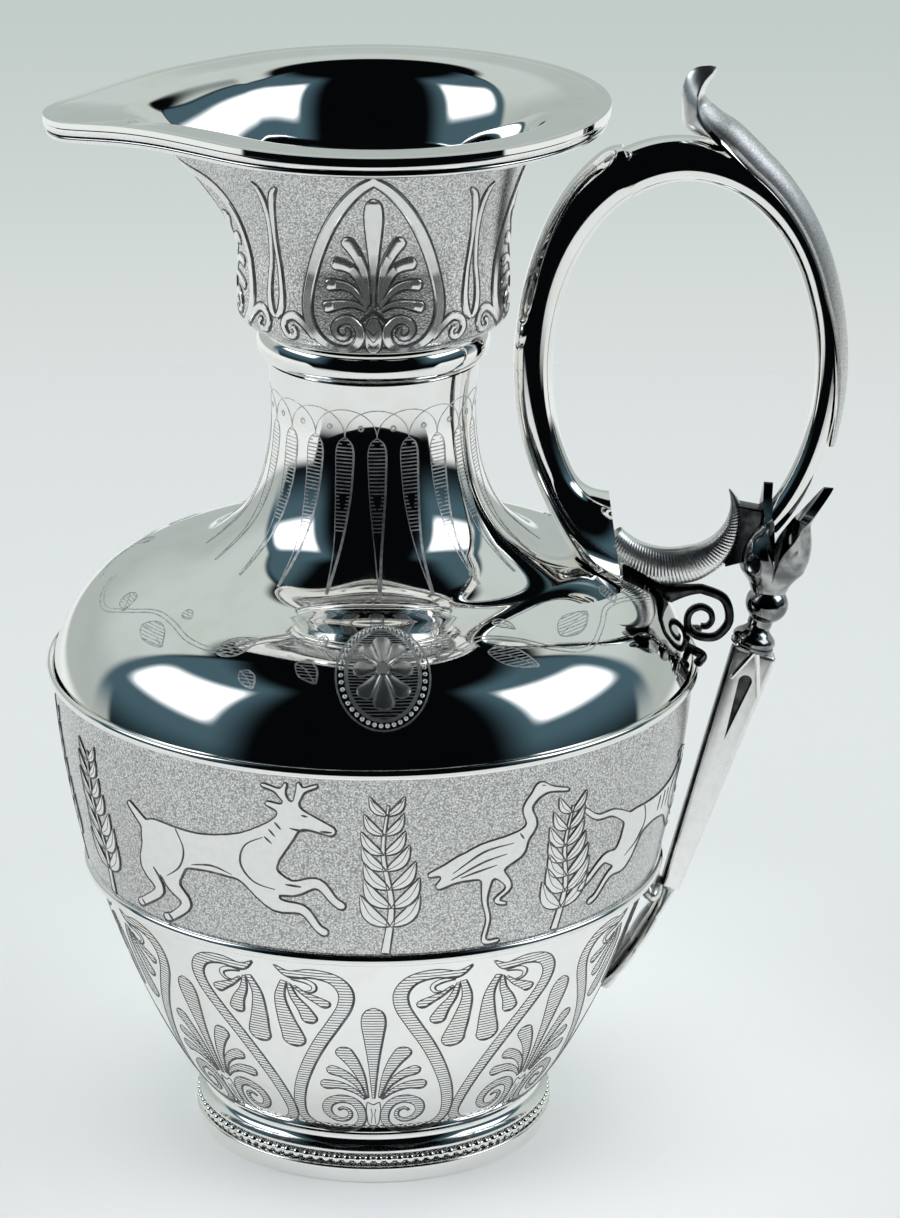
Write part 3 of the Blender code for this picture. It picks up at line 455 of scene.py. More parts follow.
def applied(mesh, kind, inputs=None, **settings):
    """The mesh after a modifier with these settings and, for a geometry tree, these inputs by identifier."""
    holder = new_object("holder", mesh)
    modifier = holder.modifiers.new(kind.lower(), kind)
    for key, value in settings.items():
        setattr(modifier, key, value)
    for key, value in (inputs or {}).items():
        modifier[key] = value
    graph = bpy.context.evaluated_depsgraph_get()
    result = bpy.data.meshes.new_from_object(holder.evaluated_get(graph))
    bpy.data.objects.remove(holder, do_unlink=True)
    return result


def add_piece(name, mesh, material, *nodes, slot=POLISHED, sharp=35.0, extra=()):
    """Put a mesh in the model on the jug's axis, riding on the body, in place of the CAD nodes named."""
    mesh.name = name
    mesh.transform(Matrix.Translation((AXIS_X, 0.0, 0.0)))
    mesh.shade_smooth()
    if sharp:
        mesh.set_sharp_from_angle(angle=radians(sharp))
    mesh.materials.clear()
    for one in (material, *extra):
        mesh.materials.append(one)
    piece = new_object(name, mesh)
    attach(piece, BODY)
    if nodes:
        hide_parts(*nodes)
    return piece


# ---- finishes

class Wire:
    """A shader socket that adds Math nodes where it meets numbers or other sockets."""

    def __init__(self, tree, socket=None):
        self.tree = tree
        self.socket = socket

    def node(self, kind, settings=None, inputs=None, output=0):
        """Add a node: its settings are set first, then the values or links of its sockets."""
        made = self.tree.nodes.new(kind)
        for key, value in (settings or {}).items():
            setattr(made, key, value)
        for key, value in (inputs or {}).items():
            if isinstance(value, Wire):
                self.tree.links.new(value.socket, made.inputs[key])
            else:
                made.inputs[key].default_value = value
        return Wire(self.tree, made.outputs[output])

    def maths(self, operation, first, second=0.0):
        return self.node("ShaderNodeMath", {"operation": operation}, {0: first, 1: second})

    def __add__(self, other):
        return self.maths('ADD', self, other)

    def __sub__(self, other):
        return self.maths('SUBTRACT', self, other)

    def __rsub__(self, other):
        return self.maths('SUBTRACT', other, self)

    def __mul__(self, other):
        return self.maths('MULTIPLY', self, other)

    __radd__ = __add__
    __rmul__ = __mul__

    def between(self, low, high):
        """0 below low, 1 above high, smooth between them."""
        return self.node("ShaderNodeMapRange", {"interpolation_type": 'SMOOTHSTEP'},
                         {"Value": self, "From Min": low, "From Max": high})

    def mix(self, low, high):
        """A colour from low to high by this value."""
        return self.node("ShaderNodeMix", {"data_type": 'RGBA'}, {0: self, 6: low, 7: high}, output=2)

    def within(self, low_edge, high_edge):
        """1 between two soft edges, 0 outside them."""
        return self.between(*low_edge) * (1 - self.between(*high_edge))

    def noise(self, scale, detail):
        """Noise over a piece's own coordinates."""
        place = self.node("ShaderNodeTexCoord", output="Object")
        return self.node("ShaderNodeTexNoise", None, {"Vector": place, "Scale": scale, "Detail": detail})

    def bump(self, strength, distance, invert=False):
        """A surface that this value raises."""
        return self.node("ShaderNodeBump", {"invert": invert},
                         {"Strength": strength, "Distance": distance, "Height": self})


def new_material(name, roughness, metallic=1.0):
    """A material, the wire of its node tree and its shader."""
    material = bpy.data.materials.new(name)
    material.use_nodes = True
    shader = material.node_tree.nodes["Principled BSDF"]
    shader.inputs["Metallic"].default_value = metallic
    shader.inputs["Roughness"].default_value = roughness
    return material, Wire(material.node_tree), shader


def join(wire, shader, **sockets):
    """Link wires to the shader's sockets by name."""
    for name, value in sockets.items():
        wire.tree.links.new(value.socket, shader.inputs[name.replace("_", " ")])


def scaled(colour, share):
    """A colour made darker or lighter by a share."""
    return (*(share * c for c in colour[:3]), 1.0)


WARM_TARNISH = (0.965, 0.945, 0.91)


@cache
def polished_silver():
    """Mirror polish with a trace of hand burnishing and faint warm tarnish."""
    finish = bpy.context.scene.jug_finish
    material, wire, shader = new_material("polished_silver", finish.polish)
    haze, rubs, wave = wire.noise(160.0, 6.0), wire.noise(2600.0, 2.0), wire.noise(70.0, 1.0)
    warm = (*(c * k for c, k in zip(finish.silver, WARM_TARNISH)), 1.0)
    rough = finish.polish * 0.6 + haze * finish.polish + rubs.between(0.6, 0.9) * finish.polish
    join(wire, shader, Base_Color=haze.between(0.42, 0.75).mix(tuple(finish.silver), warm), Roughness=rough,
         Normal=wave.bump(strength=0.05, distance=0.4 * MM))
    return material


def grained_silver(name, grain, dark, matte):
    """A matte ground of punched grains, dark in its pits."""
    light = tuple(bpy.context.scene.jug_finish.ground_light)
    material, wire, shader = new_material(name, 0.42)
    place = wire.node("ShaderNodeTexCoord", output="Object")
    cells = wire.node("ShaderNodeTexVoronoi", None, {"Vector": place, "Scale": 1.0 / grain})
    grit = wire.noise(1.3 / grain, 3.0)
    height = cells * 0.6 + grit
    join(wire, shader, Base_Color=height.between(0.42, 1.05).mix(light, dark), Roughness=matte + grit * 0.16,
         Normal=height.bump(strength=0.17, distance=0.1 * MM, invert=True))
    return material


@cache
def stippled_silver():
    """The ground of the frieze and the cup."""
    finish = bpy.context.scene.jug_finish
    return grained_silver("stippled_silver", finish.grain, tuple(finish.ground_dark), matte=0.13)


@cache
def dotted_silver():
    """The finer and brighter grain of the thumb leaf."""
    grain = 0.7 * bpy.context.scene.jug_finish.grain
    return grained_silver("dotted_silver", grain, (0.6, 0.6, 0.6, 1.0), matte=0.36)


@cache
def satin_silver(name="satin_silver", matte=0.24, frost=0.0):
    """The bright cut straps, leaves and figures: smooth but not mirror bright, and whiter with more frost."""
    silver = bpy.context.scene.jug_finish.silver
    material, wire, shader = new_material(name, matte, 1.0 - frost)
    brush = wire.noise(900.0, 4.0)
    join(wire, shader, Base_Color=brush.between(0.35, 0.7).mix(tuple(silver), scaled(silver, 0.95)),
         Roughness=matte + brush * 0.12, Normal=brush.bump(strength=0.12, distance=0.05 * MM))
    return material


def patchy_silver(name, noise, edges, colours, matte, spread, metallic=1.0):
    """Silver that goes in soft patches from one colour to another, and duller by the spread."""
    material, wire, shader = new_material(name, matte + spread / 2, metallic)
    patches = wire.noise(*noise)
    join(wire, shader, Base_Color=patches.between(*edges).mix(*colours), Roughness=matte + patches * spread)
    return material


@cache
def cut_silver():
    """Tarnish that stays in the engraved lines; round raised straps and figures these lines are also painted
    shadow.
    """
    cut = bpy.context.scene.jug_finish.cut
    return patchy_silver("cut_silver", (700.0, 3.0), (0.4, 0.75), (tuple(cut), scaled(cut, 2.6)),
                         matte=0.3, spread=0.2, metallic=0.8)


@cache
def bright_cut_silver():
    """Fine engraved lines on the polish: they scatter light, so they read pale on dark and dark on pale."""
    colours = ((0.82, 0.82, 0.81, 1.0), (0.5, 0.5, 0.51, 1.0))
    return patchy_silver("bright_cut_silver", (900.0, 3.0), (0.35, 0.7), colours, matte=0.34, spread=0.2)


@cache
def tarnished_silver():
    """Near-black silver, painted shade: the strut's side away from the light, its keyholes, the palmette's
    side towards the bowl, the rim's groove, and the web, bracket and legs under the loop.
    """
    colours = ((0.02, 0.02, 0.022, 1.0), (0.1, 0.1, 0.1, 1.0))
    return patchy_silver("tarnished_silver", (420.0, 4.0), (0.4, 0.75), colours, matte=0.1, spread=0.16)


@cache
def shaded_silver():
    """Polished silver darkened to grey as painted shade, on the parts under the loop."""
    colours = ((0.16, 0.16, 0.165, 1.0), (0.5, 0.5, 0.49, 1.0))
    return patchy_silver("shaded_silver", (300.0, 3.0), (0.35, 0.7), colours, matte=0.05, spread=0.08)


# ---- the body's outlines, from the top down

def bowl_outline(steps=48):
    top = (BOWL_TOP_RADIUS, BOWL_TOP_Z - SEAM / 2)
    foot = (BOWL_FOOT_RADIUS, FOOT_HEIGHT + SEAM)
    leave = (top[0] - BOWL_DRAW_IN, top[1] - 0.33 * BOWL_HEIGHT)
    arrive = (foot[0] + BOWL_FOOT_FLARE, foot[1] + 0.16 * BOWL_HEIGHT)
    return bezier(top, leave, arrive, foot, steps)


def frieze_outline(steps=32):
    top = (FRIEZE_TOP_RADIUS, FRIEZE_TOP_Z - SEAM / 2)
    foot = (FRIEZE_FOOT_RADIUS, BOWL_TOP_Z + SEAM / 2)
    leave = (top[0] - 0.45 * FRIEZE_SWELL, top[1] - FRIEZE_HEIGHT / 3)
    arrive = (foot[0] + (top[0] - foot[0]) / 3 + FRIEZE_SWELL, foot[1] + FRIEZE_HEIGHT / 3)
    return bezier(top, leave, arrive, foot, steps)


def shoulder_outline(steps=40):
    waist = (NECK_RADIUS, NECK_TOP_Z - 0.25 * NECK_HEIGHT)
    turn = (SHOULDER_TOP_RADIUS, SHOULDER_TOP_Z)
    foot = (SHOULDER_FOOT_RADIUS, FRIEZE_TOP_Z + SEAM / 2)
    top = (NECK_RADIUS + NECK_FLARE, NECK_TOP_Z - SEAM / 2)
    neck = bezier(top, (blend(top[0], waist[0], 0.5), blend(top[1], waist[1], 0.33)),
                  (waist[0], blend(top[1], waist[1], 0.67)), waist, 8)
    bend = (NECK_BEND_RADIUS, NECK_BEND_Z)
    lean = (sin(NECK_BEND_SLOPE), -cos(NECK_BEND_SLOPE))
    pull = 5.0 * MM
    crown = 0.58 * (foot[0] - turn[0])
    sweep = bezier(waist, (waist[0] + 0.4 * NECK_FLARE, waist[1] - 2.2 * pull),
                   (bend[0] - pull * lean[0], bend[1] - pull * lean[1]), bend, steps)
    cone = bezier(bend, (bend[0] + pull * lean[0], bend[1] + pull * lean[1]),
                  (turn[0] - 0.8 * pull, turn[1] + 0.8 * pull * SHOULDER_FALL), turn, steps)
    dome = bezier(turn, (turn[0] + crown, turn[1] - SHOULDER_FALL * crown),
                  (foot[0] - 0.13 * SHOULDER_HEIGHT, foot[1] + 0.555 * SHOULDER_HEIGHT), foot, steps)
    return neck + sweep[1:] + cone[1:] + dome[1:]


SHOULDER_LINE = shoulder_outline()
BOWL_LINE = bowl_outline()


def shoulder_z(radius):
    return value_at(SHOULDER_LINE, 0, 1, radius)


def shoulder_radius(z):
    return value_at(SHOULDER_LINE, 1, 0, z)


def bowl_radius(z):
    return value_at(BOWL_LINE, 1, 0, z)


def above_shoulder(point, lift):
    """The point itself, or the same place raised to lie clear of the shoulder."""
    floor = shoulder_z(hypot(point.x, point.y)) + lift
    return Vector((point.x, point.y, max(point.z, floor)))


def half_round(radius, z, width, half_height):
    """A half-round wire with its flat back towards the axis, run down its outer side."""
    return [(radius + r, z + h * half_height / width) for r, h in arc(width, 90.0, -90.0, 10)]


def make_foot():
    """The turned foot: a plain band, a groove for the beads and a cove up to the bowl."""
    bead_z = FOOT_BAND_HEIGHT + BEAD_RADIUS
    ledge = FOOT_RADIUS - 1.9 * BEAD_RADIUS - SEAM
    collar_z = bead_z + BEAD_RADIUS + SEAM
    step = blend(FOOT_NECK_RADIUS, FOOT_RADIUS, 0.75)
    cove = bezier((FOOT_NECK_RADIUS, FOOT_HEIGHT - 2 * EDGE), (FOOT_NECK_RADIUS, collar_z + 3 * EDGE),
                  (step - 2 * EDGE, collar_z + 2 * EDGE), (step, collar_z + EDGE), 10)
    outline = [(FOOT_NECK_RADIUS + EDGE, FOOT_HEIGHT), *cove, (step, collar_z), (ledge, collar_z),
               (ledge, FOOT_BAND_HEIGHT - SEAM)]
    outline += [(FOOT_RADIUS - EDGE + r, FOOT_BAND_HEIGHT - SEAM - EDGE + z) for r, z in arc(EDGE, 90.0, 0.0, 4)]
    outline += [(FOOT_RADIUS - EDGE + r, EDGE + z) for r, z in arc(EDGE, 0.0, -90.0, 4)]
    outline += [(FOOT_RADIUS - FOOT_LAND, 0.0), (FOOT_NECK_RADIUS - FOOT_WALL, FOOT_BAND_HEIGHT),
                (FOOT_NECK_RADIUS - FOOT_WALL, FOOT_HEIGHT)]
    add_piece("foot_ring_polished", turned(outline), polished_silver(), "foot_ring")


def make_body():
    """The bowl, the frieze's ground, the shoulder with the neck, their wires and the collar."""
    outer = bowl_outline()
    inner = inset(outer, WALL)
    floor_z = outer[-1][1]
    inner[-1] = (inner[-1][0], floor_z + WALL)
    outline = [(0.0, floor_z + WALL)] + inner[::-1] + outer + [(0.0, floor_z)]
    add_piece("bowl_wall", turned(outline, closed=False), polished_silver(), "lower_bowl", slot=ENGRAVED)
    add_piece("frieze_ground", turned_shell(frieze_outline()), stippled_silver(), "frieze_band", slot=STIPPLED)
    add_piece("shoulder_and_neck", turned_shell(SHOULDER_LINE), polished_silver(), "shoulder_neck")
    for name, back, z in (("upper_wire", UPPER_MOULDING_BACK, FRIEZE_TOP_Z),
                          ("lower_wire", LOWER_MOULDING_BACK, BOWL_TOP_Z)):
        wire = half_round(back, z, MOULDING_WIDTH, MOULDING_HALF_HEIGHT)
        add_piece(name, turned(wire), polished_silver(), name.replace("wire", "moulding"))
    bore = NECK_RADIUS + NECK_FLARE - WALL
    middle = NECK_TOP_Z + COLLAR_HEIGHT / 2
    half = COLLAR_HEIGHT / 2 - SEAM
    ring = half_round(COLLAR_RADIUS - COLLAR_BULGE, middle, COLLAR_BULGE, half)
    ring += [(bore, middle - half), (bore, middle + half)]
    add_piece("collar_ring", turned(ring), polished_silver(), "neck_collar")


# ---- the mouth

def lip_reach(angle):
    """Distance from the axis to the lip's edge: a circle drawn out to the rounded spout tip at -X."""
    tip_x = SPOUT_REACH - SPOUT_TIP_RADIUS
    lean = acos((LIP_RADIUS - SPOUT_TIP_RADIUS) / tip_x)
    off = abs(pi - angle % (2 * pi))
    if off >= lean:
        return LIP_RADIUS
    tip_side = atan2(SPOUT_TIP_RADIUS * sin(lean), tip_x + SPOUT_TIP_RADIUS * cos(lean))
    if off >= tip_side:
        return LIP_RADIUS / cos(lean - off)
    return tip_x * cos(off) + sqrt(SPOUT_TIP_RADIUS ** 2 - (tip_x * sin(off)) ** 2)


def spout_share(angle):
    """How far a direction belongs to the spout, from 0 on the round lip to 1 at the tip."""
    return ease((lip_reach(angle) - LIP_RADIUS) / (SPOUT_REACH - LIP_RADIUS))


def mouth_section(angle, steps=36):
    """The inner face of the cup and its flare in one direction, from the bottom up."""
    spout = spout_share(angle)
    wall = CUP_RADIUS - WALL
    edge = (lip_reach(angle), LIP_Z - SPOUT_DROP * spout)
    corner = [(wall - CUP_CORNER * (1 - sin(a)), CUP_BOTTOM_Z + WALL + CUP_CORNER * (1 - cos(a)))
              for a in (pi / 2 * k / 8 for k in range(9))]
    fold = edge[0] - FLANGE_WIDTH - SPOUT_FLANGE * spout
    bend = max(blend(wall, fold, 0.36), fold - FOLD_BEND)
    flare = bezier((wall, FLARE_Z), (wall + WALL, FLARE_Z + FLARE_RISE - SPOUT_CHANNEL * spout),
                   (bend, edge[1] - 2 * LIP_ROLL), (fold, edge[1] - LIP_ROLL), steps)
    return corner + flare + [(blend(fold, edge[0], k / 4), edge[1] - LIP_ROLL * (1 - k / 4)) for k in range(1, 5)]


def outset(section):
    """The outer side of a wall whose inner side runs from the bottom up."""
    return inset(section[::-1], -WALL)[::-1]


RIM_PROFILE = (
    (-3.4, -0.6), (-2.4, -0.16), (-1.7, -0.03), (-1.1, 0), (-0.65, -0.1), (-0.3, -0.35), (-0.08, -0.75), (0, -1.2),
    (-0.08, -1.65), (-0.3, -2.05), (-0.75, -2.35), (-0.6, -2.5), (-0.5, -2.8), (-0.6, -3.1), (-1, -3.4),
    (-1.6, -3.4), (-2.4, -2.9), (-3.2, -1.9)
)
# The faces of the groove between the rim's two rolls, which take painted shade
RIM_GROOVE = (9, 10)


def make_mouth():
    """The cup with its flare and spout, stippled outside, and the rolled rim with its groove painted dark as shade.
    """
    count = bpy.context.scene.jug_body.segments
    points, lip = [], []
    for a in (a + 0.5 * sin(a) for a in turns(count)):
        inner = mouth_section(a)
        way = (cos(a), sin(a))
        points += [(r * way[0], r * way[1], z) for r, z in inner + outset(inner)[::-1]]
        lip.append(Vector((inner[-1][0] * way[0], inner[-1][0] * way[1], inner[-1][1])))
    mesh = mesh_of(points, grid_faces(count, len(points) // count, True, True))
    piece = add_piece("mouth_wall", mesh, polished_silver(), "mouth_cup", slot=STIPPLED, extra=(stippled_silver(),))
    for face in piece.data.polygons:
        out = Vector((face.center.x - AXIS_X, face.center.y, 0.0))
        outer = face.normal.dot(out.normalized()) - 0.45 * face.normal.z > 0.25
        face.material_index = int(outer and STIPPLE_FOOT_Z < face.center.z < STIPPLE_TOP_Z)
    rim = []
    for i, edge in enumerate(lip):
        along = (lip[(i + 1) % count] - lip[i - 1]).normalized()
        out = Vector((along.y, -along.x, 0.0)).normalized()
        rim += [edge + out * (r * MM) + Vector((0.0, 0.0, z * MM)) for r, z in RIM_PROFILE]
    mesh = mesh_of(rim, grid_faces(count, len(RIM_PROFILE), True, True))
    # The rim's groove takes painted shade
    piece = add_piece("rim_roll", mesh, polished_silver(), "rim_wire", sharp=50.0, extra=(tarnished_silver(),))
    for face in piece.data.polygons:
        face.material_index = int(face.index % len(RIM_PROFILE) in RIM_GROOVE)


# ---- the handle

def loop_point(angle, tube_radius):
    """Centre of a rod that lies against the loop's opening, at an angle in degrees from +X."""
    a = radians(angle)
    return Vector((LOOP_X + (LOOP_HALF_WIDTH + tube_radius) * cos(a), 0.0,
                   LOOP_Z + (LOOP_HALF_HEIGHT + tube_radius) * sin(a)))


def loop_outward(angle):
    """The direction away from the loop's opening at an angle."""
    a = radians(angle)
    return Vector((cos(a) / LOOP_HALF_WIDTH, 0.0, sin(a) / LOOP_HALF_HEIGHT)).normalized()


def stem_radius(angle):
    share = min(max((SLEEVE_ANGLE - angle) / STEM_TAPER, 0.0), 1.0)
    return blend(STEM_TOP_RADIUS, STEM_RADIUS, share)


def horn_radius(angle):
    return blend(HORN_TOP_RADIUS, HORN_RADIUS, ease((angle - SLEEVE_ANGLE) / HORN_TAPER))


def bell_ring(crown, bottom, across, petal, lift, square=1.0, sides=48):
    """A ring of the horn between its crown and its bottom, drawn out low on each side into a petal and laid
    on the shoulder."""
    centre = (crown + bottom) / 2
    half = (crown - bottom).length / 2
    shaped = []
    along = Vector((crown.z - bottom.z, 0.0, bottom.x - crown.x)).normalized()
    for i, point in enumerate(ring_at(centre, along, across, half, sides, square)):
        from_crown = 180.0 - abs(180.0 - 360.0 * i / sides)
        reach = max(0.0, 1.0 - abs(from_crown - PETAL_ANGLE) / PETAL_SPREAD) ** 1.3
        out = (point - centre).normalized()
        shaped.append(above_shoulder(point + out * (petal * reach), lift))
    return shaped


def make_horn():
    """The left half of the loop, from its sleeve down into a hollow trumpet bell on the shoulder."""
    rings = []
    steps = 48
    for i in range(steps + 1):
        angle = blend(SLEEVE_ANGLE, BELL_ANGLE, i / steps)
        outward = loop_outward(angle)
        sleeve = (SLEEVE_EDGE * (1 - min(i, 3) / 3)) ** 2 / MM
        radius = horn_radius(angle) + HORN_FULLER - sleeve
        centre = loop_point(angle, horn_radius(angle)) - outward * (0.6 * HORN_FULLER)
        square = blend(LOOP_SQUARE, 1.0, ease((angle - SLEEVE_ANGLE) / 80.0))
        crown, bottom = centre - outward * radius, centre + outward * radius
        rings.append(bell_ring(crown, bottom, radius, 0.0, SEAM, square))
    down = Vector((-outward.z, 0.0, outward.x))
    mouth = loop_point(BELL_ANGLE, HORN_RADIUS) + Vector((BELL_REACH, 0.0, -BELL_DROP))
    upright = unit(pi / 2 + MOUTH_TILT) * BELL_RADIUS
    steps = 24
    sides = [bezier(start, start + down * leave, end + arrive, end, steps)
             for start, end, (leave, arrive) in ((crown, mouth + upright, BELL_CROWN_PULLS),
                                                 (bottom, mouth - upright, BELL_BOTTOM_PULLS))]
    stations = []
    for i in range(1, steps + 1):
        share = i / steps
        across = blend(HORN_RADIUS + HORN_FULLER, BELL_RADIUS, share ** 1.7)
        stations.append((*(Vector(side[i]) for side in sides), across, PETAL_REACH * share ** 3))
    rings += [bell_ring(*station, SEAM) for station in stations]
    for crown, bottom, across, petal in stations[:8:-1]:
        wall = (crown - bottom).normalized() * BELL_WALL
        rings.append(bell_ring(crown - wall, bottom + wall, across - BELL_WALL, petal, SEAM + BELL_WALL))
    add_piece("horn_and_bell", loft(rings), polished_silver(), "handle_horn")


def rod_radius(angle):
    """The stem's own radius: it lies against the outer side of the room that it has."""
    return blend(ROD_RADIUS, ROD_TOP_RADIUS, ease(angle / ROD_TAPER))


def make_stem():
    """The right half of the loop, from inside the sleeve over the top and down into the calyx."""
    rings = []
    for i in range(97):
        angle = blend(SLEEVE_ANGLE + 5.0, STEM_END_ANGLE - 6.0, i / 96)
        room, radius, outward = stem_radius(angle), rod_radius(angle), loop_outward(angle)
        centre = loop_point(angle, room) + outward * (room - radius)
        square = blend(1.0, LOOP_SQUARE, ease((angle - 30.0) / 50.0))
        rings.append(ring_at(centre, Vector((outward.z, 0.0, -outward.x)), radius, radius, 40, square))
    add_piece("stem_rod", loft(rings), polished_silver(), "handle_stem")


LEAF_POINTS = 12
LEAF_EDGE = 0.05 * MM
LEAF_LEAVE_ANGLE = 66.0
LEAF_LEAVE_SHARE = (LEAF_LEAVE_ANGLE - LEAF_END_ANGLE) / (THUMB_ANGLE - LEAF_END_ANGLE)
# The curl above the loop: x, z, half width, front and back bulge in mm, and how far its section is a lens
THUMB_CURL = ((56.95, 170.65, 3.8, 4.6, -0.6, 0.1), (54.18, 173.41, 3.7, 4.0, 1.4, 0.3),
              (52.66, 175.55, 3.5, 3.5, 2.6, 0.55), (52.06, 177.62, 3.1, 2.9, 2.2, 0.8),
              (52.29, 179.9, 2.5, 1.25, 2.5, 1.0), (53.18, 181.85, 1.7, 1.0, 2.5, 1.0),
              (54.51, 183.19, 0.9, 0.7, 1.3, 1.0), (55.3, 183.8, 0.25, 0.2, 0.3, 1.0))
CURL_STEPS = 6


def leaf_section(seat, outward, radius, half_angle, thickness):
    """A crescent that hugs a rod, with a line cut by each edge: points on its outer side, then back along
    its inner side."""
    outer, inner = [], []
    for k in range(-LEAF_POINTS, LEAF_POINTS + 1):
        share = k / LEAF_POINTS
        way = ACROSS * sin(half_angle * share) + outward * cos(half_angle * share)
        taper = 1.0 - 0.6 * abs(share) - (0.32 if abs(k) == LEAF_POINTS - 2 else 0.0)
        inner.append(seat + way * radius - outward * radius)
        outer.append(seat + way * (radius + thickness * taper) - outward * radius)
    return outer + inner[::-1]


def curl_section(seat, outward, half, front, back, lens):
    """A solid section with a sharp edge on each side, from round to a lens, in the same order."""
    outer, inner = [], []
    for k in range(-LEAF_POINTS, LEAF_POINTS + 1):
        share = k / LEAF_POINTS
        across = ACROSS * (half * blend(sin(pi / 2 * share), share, lens))
        crown = blend(cos(pi / 2 * share), 1 - abs(share) ** 1.4, lens)
        cut = 0.3 * MM * (1 - lens) if abs(k) == LEAF_POINTS - 2 else 0.0
        outer.append(seat + across + outward * (front * crown + LEAF_EDGE - cut))
        inner.append(seat + across - outward * (back * crown + LEAF_EDGE))
    return outer + inner[::-1]


def make_thumb_leaf():
    """A leaf that lies along the outside of the loop, lifts off it and curls up into a thumb rest."""
    rings = []
    steps = 60
    for i in range(steps + 1):
        share = LEAF_LEAVE_SHARE * i / steps
        angle = blend(LEAF_END_ANGLE, THUMB_ANGLE, share)
        room = stem_radius(angle)
        outward = loop_outward(angle)
        seat = loop_point(angle, room) + outward * (room + SEAM + LEAF_LIFT * share ** 6)
        thickness = LEAF_THICKNESS + LEAF_SWELL * share ** 4
        reach = blend(LEAF_REACH_LOW, LEAF_REACH_TOP, min(1.0, 2.5 * share) ** 0.6)
        radius = rod_radius(angle) + SEAM
        rings.append(leaf_section(seat, outward, radius, reach, thickness))
    sag = radius * (1 - cos(reach))
    first = seat - outward * sag
    loop_end = [((point - first).dot(outward), point.y) for point in rings[-1]]
    knots = [(first.x, first.z, radius * sin(reach), thickness + sag, -sag, 0.0)]
    knots += [(*(v * MM for v in knot[:5]), knot[5]) for knot in THUMB_CURL]
    path = smooth_path(knots, CURL_STEPS)
    for i, (x, z, half, front, back, lens) in enumerate(path[1:], 1):
        along = heading(path, i)
        outward = Vector((along.z, 0.0, -along.x))
        base = Vector((x, 0.0, z))
        carried = [base + outward * o + Vector((0.0, y, 0.0)) for o, y in loop_end]
        curled = curl_section(base, outward, half, front, back, lens)
        share = ease(i / (2.5 * CURL_STEPS))
        rings.append([a.lerp(b, share) for a, b in zip(carried, curled)])
    piece = add_piece("thumb_leaf_stippled", loft(rings), polished_silver(), "thumb_leaf", slot=STIPPLED,
                      extra=(dotted_silver(), satin_silver()))
    dotted_rings = steps + int(4.2 * CURL_STEPS)
    for face in piece.data.polygons:
        ring, column = divmod(face.index, 4 * LEAF_POINTS + 2)
        if ring < dotted_rings and 2 <= column < 2 * LEAF_POINTS - 2:
            face.material_index = 1
        elif ring > steps + 2 * CURL_STEPS:
            face.material_index = 2


def axis_matrix(origin, direction):
    """A frame whose +Z runs along a direction in the handle's plane, from an origin."""
    return Matrix.Translation(origin) @ Matrix.Rotation(atan2(direction.x, direction.z), 4, 'Y')


def calyx_frame():
    """The calyx's own frame: its origin on top of the knop, +Z towards the end of the stem."""
    up = (loop_point(STEM_END_ANGLE, stem_radius(STEM_END_ANGLE)) - KNOP).normalized()
    return axis_matrix(KNOP + up * (KNOP_RADIUS + SEAM), up)


CALYX_FRAME = calyx_frame()


def calyx_point(angle, height, out):
    """A point a distance outside the calyx's inner face, at an angle about its frame and a height."""
    share = height / CALYX_LENGTH
    room = stem_radius(STEM_END_ANGLE) + 3 * SEAM
    swell = sin(pi * min(max(share, 0.0) * 1.6, 1.0)) * (CALYX_RADIUS - CALYX_WALL - room)
    lean = CALYX_LEAN * max(share - 0.6, 0.0) / 0.4
    radius = (room + swell + lean) * min(1.0, 0.7 + 2.2 * share) + out
    bend = CALYX_BEND * share ** 2
    return CALYX_FRAME @ Vector((radius * cos(angle) + bend, 0.85 * radius * sin(angle), height))


def make_calyx():
    """Two pointed leaves round the lower end of the stem, parted by a narrow slit with rolled edges."""
    columns = 160
    rows = 32
    points = []
    for angle in turns(columns):
        open_ = abs(cos(angle))
        top = blend(CALYX_SLIT_HEIGHT, CALYX_LENGTH, 0.7 * open_ ** 0.45 + 0.3 * open_ ** 8)
        heights = [blend(CALYX_FOOT, top, k / rows) for k in range(rows + 1)]
        inner = [calyx_point(angle, h, -CALYX_OVERLAP) for h in heights]
        rolled = [CALYX_ROLL * ease((k / rows - 0.72) / 0.28) * (1 - open_ ** 3) for k in range(rows + 1)]
        outer = [calyx_point(angle, h, CALYX_WALL + CALYX_FULLER + roll) for h, roll in zip(heights, rolled)]
        points += inner + outer[::-1]
    faces = grid_faces(columns, 2 * (rows + 1), True, True)
    add_piece("calyx_leaves", mesh_of(points, faces), shaded_silver(), "socket_calyx")


def tongue_widths(angle):
    """How far the tongue's middle lies from its inner radius at an angle, and its half width there."""
    share = (angle - TONGUE_START) / (TONGUE_END - TONGUE_START)
    curl = max(share - 0.4, 0.0) / 0.6
    return TONGUE_HALF_WIDTH - TONGUE_CURL * curl ** 2, TONGUE_HALF_WIDTH * (1.0 - 0.95 * curl ** 1.3)


def tongue_radius():
    """The tongue's inner radius, so that its back stands a link's length from the calyx."""
    offset, half = tongue_widths(LINK_ANGLE)
    side = calyx_point(pi, 0.5 * CALYX_LENGTH, CALYX_WALL).x - LINK_LENGTH
    return (side - TONGUE_X) / cos(radians(LINK_ANGLE)) - offset - half


TONGUE_INNER = tongue_radius()


def tongue_mid(angle):
    """Centre and half width of the tongue at an angle in degrees about its own centre."""
    offset, half = tongue_widths(angle)
    centre = Vector((TONGUE_X, 0.0, LOOP_FLOOR_Z + TONGUE_INNER))
    return centre + (TONGUE_INNER + offset) * unit(radians(angle)), half


def tongue_back(angle):
    """A point on the tongue's back, the side away from its own centre."""
    centre, half = tongue_mid(angle)
    back = centre + half * unit(radians(angle))
    return back.x, back.z


